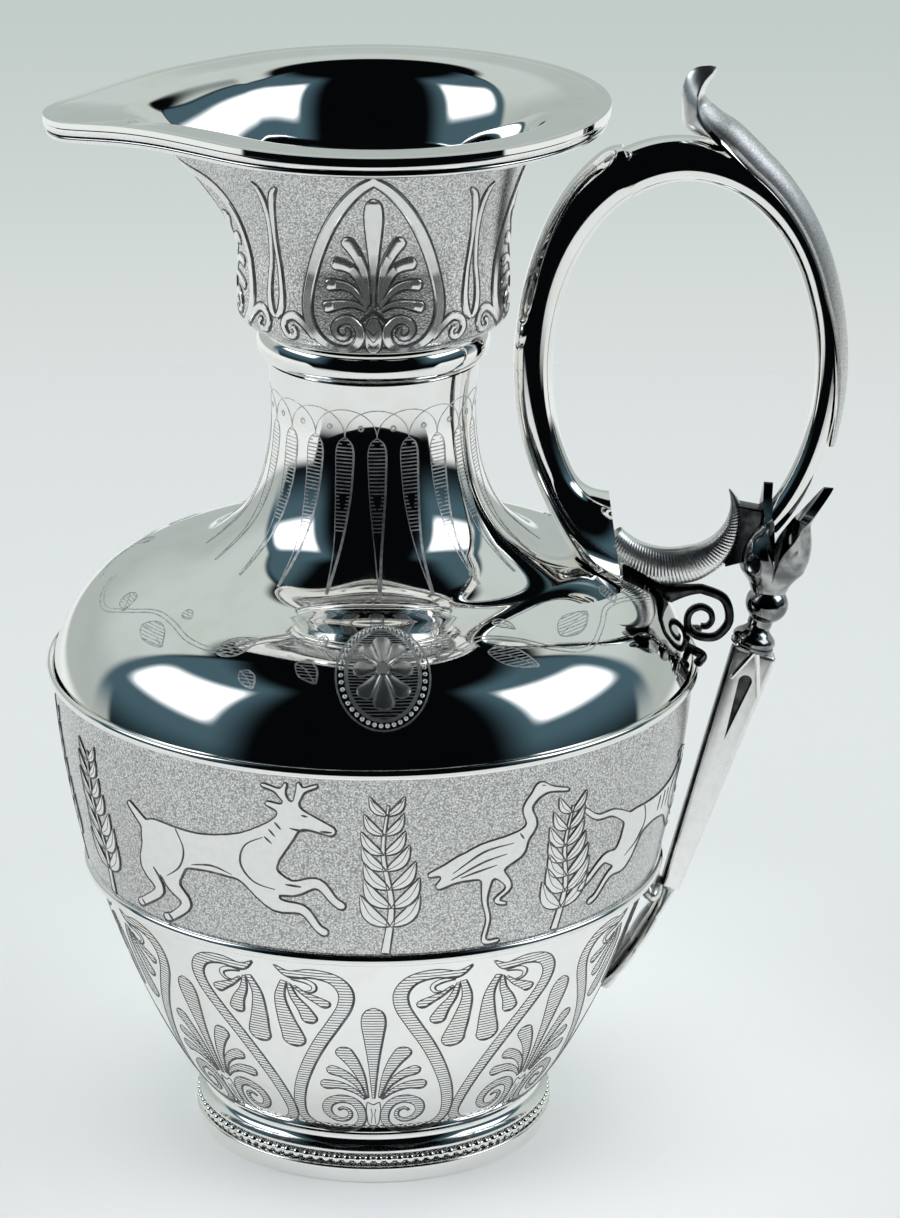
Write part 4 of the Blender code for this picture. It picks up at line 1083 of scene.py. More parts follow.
def make_tongue():
    """A feathered tongue that comes out of the bell and curls up at its tip, under the loop."""
    steps = 420
    sides = 32
    mids = [tongue_mid(blend(TONGUE_START - 10.0, TONGUE_END, i / steps)) for i in range(steps + 1)]
    rings = []
    for i, (centre, half) in enumerate(mids):
        along = (mids[min(i + 1, steps)][0] - mids[max(i - 1, 0)][0]).normalized()
        thick = TONGUE_HALF_THICKNESS * half / TONGUE_HALF_WIDTH
        wide = half * 1.24
        centre = centre + Vector((-along.z, 0.0, along.x)) * (0.16 * half)
        ring = []
        for k, point in enumerate(ring_at(centre, along, thick, wide, sides)):
            from_crown = abs(sides / 2 - k) / (sides / 2)
            phase = FEATHERS * i / steps + 3.0 * from_crown
            depth = FEATHER_DEPTH * sin(pi * min(from_crown * 1.15, 1.0)) * half / TONGUE_HALF_WIDTH
            cut = depth * abs(2 * (phase % 1.0) - 1.0) ** 2
            ring.append(above_shoulder(point + (centre - point).normalized() * cut, 2 * SEAM + BELL_WALL))
        rings.append(ring)
    add_piece("tongue_feathered", loft(rings), satin_silver(), "tongue_leaf", slot=ENGRAVED, sharp=60.0)


def flat_solid(outline, thickness, bevel=0.0, y=0.0):
    """A flat plate with an outline in the handle's plane and its middle at y, with softened edges if asked."""
    count = len(outline)
    points = [(x, y + side * thickness / 2, z) for side in (-1, 1) for x, z in outline]
    faces = [tuple(range(count)), tuple(range(2 * count - 1, count - 1, -1))]
    faces += [(i, i + count, (i + 1) % count + count, (i + 1) % count) for i in range(count)]
    mesh = mesh_of(points, faces)
    if bevel:
        mesh = applied(mesh, 'BEVEL', width=bevel, segments=3, angle_limit=radians(40))
    return mesh


def make_link():
    """A flat web that joins the back of the tongue to the calyx."""
    back = [tongue_back(blend(LINK_START, TONGUE_END, i / 60)) for i in range(61)]
    left, right = [], []
    for k in range(31):
        edge = calyx_point(pi, CALYX_LENGTH * blend(0.22, 0.74, k / 30), 0.3 * CALYX_WALL)
        right.append((edge.x, edge.z))
        left.append((value_at(back, 1, 0, edge.z) - LINK_TUCK, edge.z + LINK_SPREAD * (2 * k / 30 - 1)))
    web = flat_solid(left + right[::-1], 1.5 * LINK_THICKNESS, bevel=0.7 * MM)
    # The web is near black, painted shade between the tongue and the calyx
    add_piece("tongue_web", web, tarnished_silver(), "tongue_link")


def strut_foot():
    """Where the strut's axis passes the lower joint, just clear of its moulding."""
    clear = LOWER_MOULDING_BACK + MOULDING_WIDTH + SEAM
    return Vector((clear + 0.54 * STRUT_END_WIDTH, 0.0, BOWL_TOP_Z))


STRUT_LENGTH = (KNOP - strut_foot()).length
STRUT_AXIS = axis_matrix(KNOP, (KNOP - strut_foot()).normalized())
BAR_AXIS = Matrix.Translation((STRUT_SHIFT, 0.0, 0.0)) @ STRUT_AXIS


def make_knop():
    """A ball over a small neck, and the flared capital that the strut hangs from."""
    neck = 0.55 * KNOP_RADIUS
    top = -KNOP_RADIUS - SEAM
    low = top - CAPITAL_HEIGHT
    groove = low + 0.25 * CAPITAL_HEIGHT
    ball = [(0.0, KNOP_RADIUS)] + [(1.1 * r, z) for r, z in arc(KNOP_RADIUS, 88.0, -52.0, 24)]
    ball += [(neck * 1.15, -0.93 * KNOP_RADIUS), (neck * 1.15, -KNOP_RADIUS - 2 * SEAM),
             (0.0, -KNOP_RADIUS - 2 * SEAM)]
    flare = bezier((neck, top), (neck, top - 0.35 * CAPITAL_HEIGHT),
                   (CAPITAL_RADIUS - EDGE, top - 0.35 * CAPITAL_HEIGHT),
                   (CAPITAL_RADIUS, top - 0.6 * CAPITAL_HEIGHT), 12)
    block = [(0.0, top), *flare, (CAPITAL_RADIUS, groove + EDGE), (CAPITAL_RADIUS - EDGE, groove + EDGE / 2),
             (CAPITAL_RADIUS - EDGE, groove - EDGE / 2), (CAPITAL_RADIUS, groove - EDGE),
             (CAPITAL_RADIUS, low + EDGE), (CAPITAL_RADIUS - EDGE, low), (0.0, low)]
    for name, outline, node in (("knop_ball", ball, "knop"), ("capital_block", block, "strut_capital")):
        mesh = turned(outline, closed=False, segments=48)
        mesh.transform(STRUT_AXIS)
        add_piece(name, mesh, shaded_silver(), node)


# The ribs on the strut's faces: how far each ends aside and below its top, and their radii
RIB_ENDS = ((-2.5 * MM, 5.6 * MM), (3.0 * MM, 7.6 * MM))
RIB_RADII = (0.5 * MM, 0.45 * MM)


def make_strut():
    """A flat tapering bar from the capital down to the heel, with a keyhole sunk in both faces."""
    top = -KNOP_RADIUS - CAPITAL_HEIGHT - 2 * SEAM
    low = -STRUT_LENGTH - STRUT_END_DROP
    half_end = 0.36 * STRUT_END_WIDTH
    bar = flat_solid([(-STRUT_TOP_WIDTH / 2, top), (STRUT_TOP_WIDTH / 2, top), (half_end, low - STRUT_END_TUCK),
                      (-half_end, low - STRUT_END_TUCK)], STRUT_THICKNESS, STRUT_EDGE)
    centre = top - KEYHOLE_DROP
    hole = [(0.0, centre - KEYHOLE_LENGTH)] + [(x, centre + z) for x, z in arc(KEYHOLE_RADIUS, -10.0, 190.0, 16)]
    faces = (-STRUT_THICKNESS / 2, STRUT_THICKNESS / 2)
    cutter = new_object("keyholes", merged(*(flat_solid(hole, 2 * KEYHOLE_DEPTH, y=y) for y in faces)))
    bar = applied(bar, 'BOOLEAN', operation='DIFFERENCE', solver='EXACT', object=cutter)
    bpy.data.objects.remove(cutter, do_unlink=True)

    def in_keyhole(place):
        return (abs(place.y) < STRUT_THICKNESS / 2 - 0.2 * MM and abs(place.x) < 1.3 * MM
                and top - 1.5 * MM > place.z > low + 1.5 * MM)

    # Faces in the keyholes and on the strut's side away from the light take painted shade
    dark = {face.index for face in bar.polygons if in_keyhole(face.center) or face.normal.x < -0.3}
    bar.transform(BAR_AXIS)
    piece = add_piece("strut_bar", bar, satin_silver(), "strut", extra=(tarnished_silver(),))
    for face in piece.data.polygons:
        face.material_index = int(face.index in dark)
    ribs = merged(*(tube([(0.0, y, top + 0.6 * MM), (x, y, top - fall)], RIB_RADII, sides=12)
                    for y in faces for x, fall in RIB_ENDS))
    ribs.transform(BAR_AXIS)
    add_piece("strut_ribs", ribs, polished_silver())


def heel_point():
    """Centre of the bead between the strut's foot and the bowl."""
    z = BOWL_TOP_Z - HEEL_DROP
    return Vector((bowl_radius(z) + SEAM + HEEL_RADIUS, 0.0, z))


def palmette_ends():
    """Top and tip of the palmette's axis: it clears the heel and its tip rests by the bowl."""
    top = STRUT_AXIS @ Vector((0.0, 0.0, -STRUT_LENGTH - STRUT_END_DROP - 4 * SEAM))
    tip_z = top.z - PALMETTE_DROP
    tip = Vector((bowl_radius(tip_z) + SEAM + PALMETTE_HALF_THICKNESS, 0.0, tip_z))
    to_heel = heel_point() - tip
    clear = HEEL_RADIUS + SEAM + PALMETTE_HALF_THICKNESS
    climb = atan2(to_heel.z, to_heel.x) - asin(clear / to_heel.length)
    top.x = tip.x + PALMETTE_DROP / tan(climb)
    return top, tip


def make_heel():
    """The bead under the strut's foot and the palmette that hangs on the bowl below it, with painted shadow
    along its side towards the bowl and a row of dark slits."""
    full = 1.4 * HEEL_RADIUS
    ball = [(0.0, full)] + arc(full, 86.0, -86.0, 20) + [(0.0, -full)]
    mesh = turned(ball, closed=False, segments=32)
    mesh.transform(Matrix.Translation(heel_point()) @ Matrix.Diagonal((1.0, 3.0, 1.0, 1.0)))
    add_piece("heel_bead", mesh, satin_silver(), "strut_heel")
    top, tip = palmette_ends()
    along = (tip - top).normalized()
    steps, sides = 90, 32
    rings = []
    for k in range(steps + 1):
        share = k / steps
        lobe = abs(sin(pi * (3.4 * share + 0.25))) ** 0.6
        half = PALMETTE_HALF_WIDTH * (sin(pi * (0.05 + 0.9 * share)) ** 0.8 + 0.04)
        centre = top.lerp(tip, blend(PALMETTE_START, 1.0, share))
        rings.append(ring_at(centre, along, half * blend(0.9, 1.0, lobe),
                             PALMETTE_HALF_THICKNESS * blend(0.85, 1.0, lobe), sides))
    piece = add_piece("palmette_plate", loft(rings), satin_silver(), "lower_palmette", slot=ENGRAVED,
                      extra=(tarnished_silver(),))
    # On the side towards the bowl: a line of painted shadow, and dark slits
    for face in piece.data.polygons:
        ring, column = divmod(face.index, sides)
        around = 2 * pi * (column + 0.5) / sides
        aside = abs(sin(around))
        slit = 0.7 < aside < 0.83 and (3.3 * ring / steps + 0.1) % 1.0 > 0.5
        face.material_index = int(cos(around) < 0.0 and (aside < 0.35 or slit))


# The volute's reach from its hub at each eighth of a turn
VOLUTE_TURN = (1.0, 0.97, 0.865, 0.72, 0.54, 0.46, 0.41, 0.42, 0.42, 0.39, 0.34, 0.28, 0.2)
BRACKET_START = 41.5 * MM
BAR_STEPS = 24


def make_bracket():
    """A flat scroll between the shoulder and the strut: a bar that winds down into a volute."""
    centre_z = LOOP_FLOOR_Z - 2 * TONGUE_HALF_WIDTH - SEAM - VOLUTE_RADIUS
    left = shoulder_radius(centre_z) + SEAM
    capital = STRUT_AXIS @ Vector((0.0, 0.0, -KNOP_RADIUS - 0.7 * CAPITAL_HEIGHT))
    right = capital.x - CAPITAL_RADIUS / cos(STRUT_AXIS.to_euler().y) - SEAM
    squeeze = (right - left) / (1.75 * VOLUTE_RADIUS)
    centre_x = left + 0.75 * VOLUTE_RADIUS * squeeze
    hub_z = centre_z - VOLUTE_HUB_DROP
    bar_z = centre_z + VOLUTE_RADIUS - BRACKET_HALF_WIDTH
    knots = [(centre_x + (bar_z - hub_z) * reach * cos(pi / 2 - pi / 4 * k),
              hub_z + (bar_z - hub_z) * reach * sin(pi / 2 - pi / 4 * k))
             for k, reach in enumerate(VOLUTE_TURN)]
    bar = [blend(BRACKET_START, centre_x, i / BAR_STEPS) for i in range(BAR_STEPS)]
    path = [(x, max(bar_z, shoulder_z(x) + BRACKET_HALF_WIDTH)) for x in bar] + smooth_path(knots, 12)
    rings = []
    for i, (x, z) in enumerate(path):
        wound = max(i - BAR_STEPS, 0) / (len(path) - 1 - BAR_STEPS)
        half = blend(1.1, 0.62, wound) * BRACKET_HALF_WIDTH
        web = BRACKET_WEB * (1 - ease((i - 4) / 20))
        ring = ring_at(Vector((x, 0.0, z - web)), heading(path, i), 0.28 * BRACKET_THICKNESS, half + web, 20, 0.7)
        rings.append([above_shoulder(point, SINK) for point in ring])
    # The scroll and its legs are near black: painted shade under the loop
    add_piece("bracket_scroll", loft(rings), tarnished_silver(), "scroll_bracket")
    low_z = centre_z - 0.78 * VOLUTE_RADIUS
    from_x = centre_x - 0.5 * VOLUTE_RADIUS
    foot_z = FRIEZE_TOP_Z + MOULDING_HALF_HEIGHT + SEAM + 0.8 * LEG_RADIUS
    for name, side in (("front", -1), ("back", 1)):
        y = side * LEG_SPLAY
        x = sqrt((UPPER_MOULDING_BACK + 0.5 * LEG_RADIUS) ** 2 - y ** 2)
        top_y = side * (BRACKET_THICKNESS / 2 + SEAM + LEG_RADIUS)
        knots = [(from_x, top_y, low_z + LEG_RADIUS), (from_x, top_y + side * 2 * LEG_RADIUS, low_z),
                 (x + LEG_RADIUS, 0.8 * y, foot_z + LEG_RADIUS), (x, y, foot_z)]
        points = smooth_path(knots, 10)
        leg = tube(points, [LEG_RADIUS] * len(points), sides=16)
        add_piece("leg_" + name, leg, tarnished_silver(), "bracket_leg_" + name)


# ---- repeated parts, by geometry nodes

def new_tree(name, socket, kind):
    """A geometry tree that takes a shape, one more input and a material: its wire and its inputs by name."""
    tree = bpy.data.node_groups.new(name, 'GeometryNodeTree')
    for title, type_ in (("Geometry", 'NodeSocketGeometry'), (socket, kind), ("Material", 'NodeSocketMaterial')):
        tree.interface.new_socket(title, in_out='INPUT', socket_type=type_)
    tree.interface.new_socket("Geometry", in_out='OUTPUT', socket_type='NodeSocketGeometry')
    source = tree.nodes.new("NodeGroupInput")
    return Wire(tree), {title: Wire(tree, source.outputs[title]) for title in ("Geometry", socket, "Material")}


def close_tree(wire, material, shape):
    """End a tree in real faces of one material."""
    solid = wire.node("GeometryNodeRealizeInstances", None, {"Geometry": shape})
    smooth = wire.node("GeometryNodeSetShadeSmooth", None, {"Geometry": solid})
    coated = wire.node("GeometryNodeSetMaterial", None, {"Geometry": smooth, "Material": material})
    wire.tree.links.new(coated.socket, wire.tree.nodes.new("NodeGroupOutput").inputs["Geometry"])
    return wire.tree


@cache
def bead_tree():
    """A bead on each point of the mesh that it is given."""
    wire, given = new_tree("beads", "Bead Radius", 'NodeSocketFloat')
    bead = wire.node("GeometryNodeMeshUVSphere", None, {"Segments": 10, "Rings": 6, "Radius": given["Bead Radius"]})
    beads = wire.node("GeometryNodeInstanceOnPoints", None, {"Points": given["Geometry"], "Instance": bead})
    return close_tree(wire, given["Material"], beads)


@cache
def ring_tree():
    """Copies of a shape, spread evenly round the jug's axis."""
    wire, given = new_tree("ring_of_copies", "Copies", 'NodeSocketInt')
    line = wire.node("GeometryNodeMeshLine", None, {"Count": given["Copies"], "Offset": (0.0, 0.0, 0.0)})
    turn = wire.maths('DIVIDE', wire.node("GeometryNodeInputIndex") * (2 * pi), given["Copies"])
    way = wire.node("ShaderNodeCombineXYZ", None, {"Z": turn})
    ring = wire.node("GeometryNodeInstanceOnPoints", None,
                     {"Points": line, "Instance": given["Geometry"], "Rotation": way})
    return close_tree(wire, given["Material"], ring)


def grown(mesh, tree, **values):
    """The mesh that a geometry tree makes of another, with its named inputs set."""
    keys = {item.name.replace(" ", "_"): item.identifier for item in tree.interface.items_tree
            if item.in_out == 'INPUT'}
    return applied(mesh, 'NODES', {keys[name]: value for name, value in values.items()}, node_group=tree)


def make_beads():
    """The row of beads in the foot's groove, on the wire that they are drawn from."""
    body = bpy.context.scene.jug_body
    ring = FOOT_RADIUS - body.bead_radius
    bead_z = FOOT_BAND_HEIGHT + body.bead_radius
    count = round(2 * pi * ring / body.bead_pitch)
    places = mesh_of([(ring * cos(a), ring * sin(a), bead_z) for a in turns(count)], [])
    beads = grown(places, bead_tree(), Bead_Radius=body.bead_radius, Material=polished_silver())
    core = turned([(ring + r, bead_z + z) for r, z in arc(0.55 * body.bead_radius, 0, 324, 9)])
    add_piece("foot_beads", merged(beads, core), polished_silver(), "foot_bead_wire", sharp=0.0)


# ---- drawing boards and relief

# A board's unit, the depth to which relief is sunk in its ground, and how far lines and hatching stand off it
UNIT = 0.94 * MM
SINK = 0.06 * MM
CUT_RISE = 0.035 * MM
HATCH_RISE = 0.025 * MM
# Sections of a band: share of its half width, share of its rise
LINE = ((-1, 0), (-1, 1), (1, 1), (1, 0))
STRAP = ((-1, 0), (-1, 0.45), (-0.78, 1), (0.78, 1), (1, 0.45), (1, 0))
# The direction on a board away from the light, on which cut lines are drawn wider as painted shadow
SHADE = (0.78, -0.62)
BAND_STEP = 0.6


def lengths(path):
    """The distance along a path to each of its points."""
    return np.concatenate(([0.0], np.cumsum(np.hypot(*np.diff(np.array(path), axis=0).T))))


class Board:
    """The outer side of a turned wall as a drawing board: x runs round it to the right and v up it."""

    def __init__(self, outline, foot_z, radius, unit_size=UNIT):
        points = np.array(outline[::-1])
        run = lengths(points)
        along = np.gradient(points, axis=0)
        along /= np.hypot(*along.T)[:, None]
        self.run = (run - np.interp(foot_z, points[:, 1], run)) / unit_size
        self.columns = (points[:, 0], points[:, 1], along[:, 1], -along[:, 0])
        self.radius = radius

    def section(self, x, v, lift):
        """Radius and height of a point above the face."""
        r, z, out, up = (np.interp(v, self.run, column) for column in self.columns)
        return r + lift * out, z + lift * up

    def place(self, x, v, lift):
        r, z = self.section(x, v, lift)
        a = x / self.radius
        return r * sin(a), -r * cos(a), z


class MouthBoard(Board):
    """The cup's outer side, whose section changes towards the spout."""

    def __init__(self, foot_z, radius):
        self.radius = radius
        self.sections = [Board(outset(mouth_section(radians(turn - 90)))[::-1], foot_z, radius)
                         for turn in range(361)]

    def section(self, x, v, lift):
        turn = degrees(x / self.radius) % 360.0
        low = int(turn)
        one, two = (self.sections[k].section(x, v, lift) for k in (low, low + 1))
        return tuple(blend(a, b, turn - low) for a, b in zip(one, two))


def even(path, step):
    """A path's points moved to lie evenly along it."""
    run = lengths(path)
    at = np.linspace(0.0, run[-1], max(2, round(run[-1] / step) + 1))
    return list(zip(*(np.interp(at, run, column) for column in np.array(path).T)))


def moved(path, x, v=0.0, turn=1):
    """A path moved on its board, or mirrored first where turn is -1; what follows x and v stays."""
    return [(x + turn * px, v + pv, *rest) for px, pv, *rest in path]


def side_steps(path, closed=False):
    """A unit step to the left of the path at each of its points."""
    points = np.array(path)
    if closed:
        along = np.roll(points, -1, axis=0) - np.roll(points, 1, axis=0)
    else:
        along = np.gradient(points, axis=0)
    along /= np.maximum(np.hypot(*along.T), 1e-9)[:, None]
    return np.column_stack((-along[:, 1], along[:, 0]))


def outline_of(path, halves):
    """The closed outline of a band along a path, with a half width at each point."""
    points = np.array(path)
    reach = side_steps(path) * np.array(halves)[:, None]
    return [tuple(p) for p in np.concatenate((points - reach, (points + reach)[::-1]))]


def drop(spine, width, base):
    """A leaf's path and half widths: narrow at its base, widest near its round tip."""
    path = even(smooth_path(spine, 8), BAND_STEP / 2)
    run = lengths(path)
    tip = width / 2
    body = max(run[-1] - tip, 1e-6)
    halves = [tip * (base + (1 - base) * min(s / body, 1.0) ** 1.2)
              * sqrt(max(1 - (max(s - body, 0.0) / tip) ** 2, 0.004)) for s in run]
    return path, halves


def pointed(spine, per_span, step, half):
    """A smooth path through the spine and its half widths, from a function of the share along it."""
    path = even(smooth_path(spine, per_span), step)
    last = len(path) - 1
    return path, [half(k / last) for k in range(last + 1)]


def shaped(knots):
    """A band's path and half widths, from x, v and the full width at each knot."""
    fine = np.array(smooth_path([(x, v, width / 2) for x, v, width in knots], 8))
    path = even(fine[:, :2], BAND_STEP)
    run = lengths(fine[:, :2])
    halves = np.interp(np.linspace(0.0, run[-1], len(path)), run, fine[:, 2])
    return path, [max(h, 0.02) for h in halves]


class Relief:
    """Thin closed solids laid on a drawing board and kept as one mesh."""

    def __init__(self, board):
        self.place = board.place
        self.points, self.faces = [], []

    def band(self, path, halves, rise, section=LINE, closed=False):
        """A strip along a path, with a half width at each point."""
        start = len(self.points)
        if not hasattr(halves, "__len__"):
            halves = [halves] * len(path)
        for (x, v), (sx, sv), half in zip(path, side_steps(path, closed), halves):
            for side, height in section:
                lift = rise * height if height else -SINK
                self.points.append(self.place(x + side * half * sx, v + side * half * sv, lift))
        count = len(section)
        self.faces += grid_faces(len(path), count, True, closed, start)
        if not closed:
            last = len(self.points) - count
            self.faces += [tuple(range(start, start + count)), tuple(range(last, last + count))]

    def contour(self, outline, thin, thick, rise=CUT_RISE):
        """A cut line round a closed outline, drawn wider on the side away from the light as painted shadow."""
        path = even(outline + outline[:1], 0.5)[:-1]
        points = np.array(path)
        area = np.sum(points[:, 0] * np.roll(points[:, 1], -1) - points[:, 1] * np.roll(points[:, 0], -1))
        away = -np.sign(area) * side_steps(path, True) @ np.array(SHADE)
        self.band(path, thin + (thick - thin) * np.clip(away, 0.0, 1.0) ** 0.7, rise, closed=True)

    def hatch(self, outline, pitch, half, rise=HATCH_RISE, low=-1e9, margin=0.1):
        """Level lines across a closed outline."""
        points = np.array(outline)
        after = np.roll(points, -1, axis=0)
        v = max(points[:, 1].min(), low) + 0.6 * pitch
        while v < points[:, 1].max():
            cross = (points[:, 1] > v) != (after[:, 1] > v)
            a, b = points[cross], after[cross]
            xs = sorted(a[:, 0] + (v - a[:, 1]) / (b[:, 1] - a[:, 1]) * (b[:, 0] - a[:, 0]))
            for left, right in zip(xs[::2], xs[1::2]):
                if right - left > 4 * margin:
                    self.band(even([(left + margin, v), (right - margin, v)], 1.6), half, rise)
            v += pitch

    def dot(self, x, v, radius, rise):
        self.band([(x - radius, v), (x - 0.6 * radius, v), (x + 0.6 * radius, v), (x + radius, v)],
                  [0.4 * radius, radius, radius, 0.4 * radius], rise)

    def plate(self, figure, rise):
        """A flat figure with a rounded edge, and its outlines."""
        loops = figure.loops()
        corners = [p for loop in loops for p in loop]
        edges = []
        for loop in loops:
            first = len(edges)
            edges += [(first + k, first + (k + 1) % len(loop)) for k in range(len(loop))]
        places = corners + figure.inner_points()
        verts, _, faces, *_ = delaunay_2d_cdt([Vector(p) for p in places], edges, [], 0, 1e-5)
        xs, ys = np.array([tuple(p) for p in verts]).T
        depth = np.clip(-figure.distance(xs, ys), 0.0, 0.5) / 0.5
        start = len(self.points)
        count = len(verts)
        self.points += [self.place(x, y, rise * (0.55 + 0.45 * d)) for x, y, d in zip(xs, ys, depth)]
        self.points += [self.place(x, y, -SINK) for x, y in zip(xs, ys)]
        rim = set()
        for face in faces:
            middle = np.array([[xs[k], ys[k]] for k in face]).mean(axis=0)
            if figure.distance(middle[:1], middle[1:])[0] < 0.0:
                self.faces += [tuple(start + k for k in face), tuple(start + count + k for k in face[::-1])]
                rim ^= {frozenset(edge) for edge in zip(face, (*face[1:], face[0]))}
        for a, b in map(sorted, rim):
            self.faces.append((start + a, start + b, start + count + b, start + count + a))
        return loops

    def mesh(self):
        return mesh_of(self.points, self.faces)


class Figure:
    """An animal in outline, built of round limbs that run into each other."""

    def __init__(self, limbs, x, y):
        self.limbs = [moved(smooth_path(limb, 4), x, y) for limb in limbs]
        every = np.array([p for limb in self.limbs for p in limb])
        self.low = every[:, :2].min(axis=0) - 3.0
        self.high = every[:, :2].max(axis=0) + 3.0

    def distance(self, xs, ys, soft=0.8):
        """How far points lie outside the figure."""
        field = np.full(np.shape(xs), 50.0)
        for limb in self.limbs:
            near = np.full(np.shape(xs), 50.0)
            for (ax, ay, ar), (bx, by, br) in zip(limb, limb[1:]):
                dx, dy = bx - ax, by - ay
                t = np.clip(((xs - ax) * dx + (ys - ay) * dy) / (dx * dx + dy * dy), 0.0, 1.0)
                near = np.minimum(near, np.hypot(xs - ax - t * dx, ys - ay - t * dy) - ar - t * (br - ar))
            share = np.clip(0.5 + 0.5 * (near - field) / soft, 0.0, 1.0)
            field = near * (1 - share) + field * share - soft * share * (1 - share)
        return field

    def inner_points(self, step=2.2):
        xs, ys = (a.ravel() for a in np.meshgrid(np.arange(self.low[0], self.high[0], step),
                                                 np.arange(self.low[1], self.high[1], step)))
        inside = self.distance(xs, ys) < -0.6
        return [(x, y) for x, y in zip(xs[inside], ys[inside])]

    def loops(self, step=0.25):
        """The figure's closed outlines."""
        xs, ys = np.arange(self.low[0], self.high[0], step), np.arange(self.low[1], self.high[1], step)
        field = self.distance(*np.meshgrid(xs, ys))
        inside = field < 0.0
        mixed = inside[:-1, :-1].astype(int) + inside[1:, :-1] + inside[:-1, 1:] + inside[1:, 1:]
        follow = {}
        for i, k in zip(*np.nonzero((mixed > 0) & (mixed < 4))):
            ring = [(i, k), (i, k + 1), (i + 1, k + 1), (i + 1, k)]
            edges = list(zip(ring, ring[1:] + ring[:1]))
            enter = [e for e in edges if not inside[e[0]] and inside[e[1]]]
            for after, edge in enumerate(edges):
                if inside[edge[0]] and not inside[edge[1]]:
                    back = min(enter, key=lambda e: (edges.index(e) - after) % 4)
                    follow[frozenset(edge)] = frozenset(back)
        loops = []
        while follow:
            at = next(iter(follow))
            loop = []
            while at in follow:
                a, b = sorted(at)
                share = field[a] / (field[a] - field[b])
                loop.append((blend(xs[a[1]], xs[b[1]], share), blend(ys[a[0]], ys[b[0]], share)))
                at = follow.pop(at)
            if len(loop) > 12:
                loops.append(even(loop + loop[:1], 0.5)[:-1])
        return loops


# ---- ornament

def engraved_leaf(lines, path, halves):
    """A leaf cut as a line round it, with level hatching inside."""
    outline = outline_of(path, halves)
    lines.contour(outline, thin=0.09, thick=0.22)
    lines.hatch(outline, pitch=0.64, half=0.085, margin=0.14)


# Drawings on the boards: x and v in the board's units, with the full width where a third number follows
BOWL_COPIES = 8
BOWL_CENTRE = (
    (0, 8.4, 0.5), (0, 12, 0.95), (0, 16, 1.5), (0, 20, 2.2), (0, 25, 3.3), (0, 28, 3.9), (0, 30.2, 3.4),
    (0, 31.4, 1.9), (0, 31.8, 0.3)
)
BOWL_LEAVES = (
    (((1.2, 8.6), (2.2, 14), (3.6, 18), (5, 20.6), (5.7, 21.9)), 3),
    (((1.4, 8.4), (3, 12.3), (5.5, 15), (8.4, 16.2)), 2.4),
    (((1.6, 8.2), (3.6, 10.4), (6.5, 11.9), (10, 11.7)), 2.5)
)
BOWL_SCROLL = (
    (14.8, 40.4, 0.2), (12.6, 38.6, 1.5), (9.2, 39.2, 1.9), (5.9, 38.2, 2.2), (4.2, 35.4, 2.3), (4.5, 31.8, 2.3),
    (6.5, 27.4, 2.3), (9.3, 22, 2.3), (12, 16, 2.3), (14.2, 10, 2.3), (15.4, 4.4, 2.3), (15, 1, 2.2),
    (12.6, -1.4, 2), (8.8, -2.3, 1.8), (5, -1.7, 1.7), (2.7, 0.8, 1.7), (2.5, 4.4, 1.8), (3.9, 7.2, 2),
    (6.4, 8, 2.1), (8.9, 6.6, 2), (9.6, 4, 1.8), (8.3, 1.9, 1.4), (6.3, 1.5, 1.1), (4.9, 2.8, 0.9), (5, 4.6, 0.75),
    (6.3, 5.3, 0.6), (7.3, 4.5, 0.5)
)
BOWL_HOOK = ((12.4, 37.6, 0.3), (10.2, 37.4, 0.9), (8.9, 36.4, 0.8), (9.3, 35.1, 0.6), (10.6, 34.9, 0.2))
BOWL_BUD = ((0, 6.4), (1.3, 7.3), (1.5, 4.6), (1.2, 0.6), (0, -1.8))
BOWL_BUD_VEIN = ((0.45, 5.2), (0.25, 3.4), (0.5, 0.4))
BOWL_DROPS = (
    (((13.6, 36.9), (14.6, 33), (14.2, 28), (13.5, 24), (13.3, 21.2)), 4),
    (((12.9, 36.5), (12.3, 33.5), (10.9, 30.6), (9.9, 27.4)), 2.6),
    (((12.1, 36), (10.4, 34.3), (8.6, 33.1), (6.8, 31.8)), 1.9)
)


def make_bowl_engraving():
    """Eight palmettes between lyre scrolls with hanging drops, cut into the bowl."""
    lines = Relief(Board(BOWL_LINE, foot_z=11.28 * MM, radius=42.0))
    engraved_leaf(lines, *shaped(BOWL_CENTRE))
    for turn in (1, -1):
        for leaves, base in ((BOWL_LEAVES, 0.2), (BOWL_DROPS, 0.25)):
            for spine, width in leaves:
                engraved_leaf(lines, *drop(moved(spine, 0.0, turn=turn), width, base))
        engraved_leaf(lines, *shaped(moved(BOWL_SCROLL, 0.0, turn=turn)))
        lines.contour(outline_of(*shaped(moved(BOWL_HOOK, 0.0, turn=turn))), 0.08, 0.2)
        lines.band(even(moved(BOWL_BUD, 0.0, turn=turn), 0.7), 0.12, CUT_RISE)
        lines.band(even(moved(BOWL_BUD_VEIN, 0.0, turn=turn), 0.7), 0.09, 0.03 * MM)
    mesh = grown(lines.mesh(), ring_tree(), Copies=BOWL_COPIES, Material=cut_silver())
    add_piece("bowl_engraving", mesh, cut_silver(), slot=ENGRAVED)


NECK_BOARD_RADIUS = 18.0
NECK_COPIES = 20
NECK_TURN = radians(2.0)
ARC_FOOT_V, ARC_RISE = 30.3, 5.0
DOT_V, DOT_RADIUS = 32.0, 0.42
NECK_TONGUE = (
    (0, 30.2, 0.4), (0, 29.6, 1.9), (0, 28.5, 2.9), (0, 27, 3.2), (0, 24, 3), (0, 20, 2.6), (0, 15, 1.7),
    (0, 10, 0.85), (0, 5, 0.35), (0, 1.5, 0.1)
)


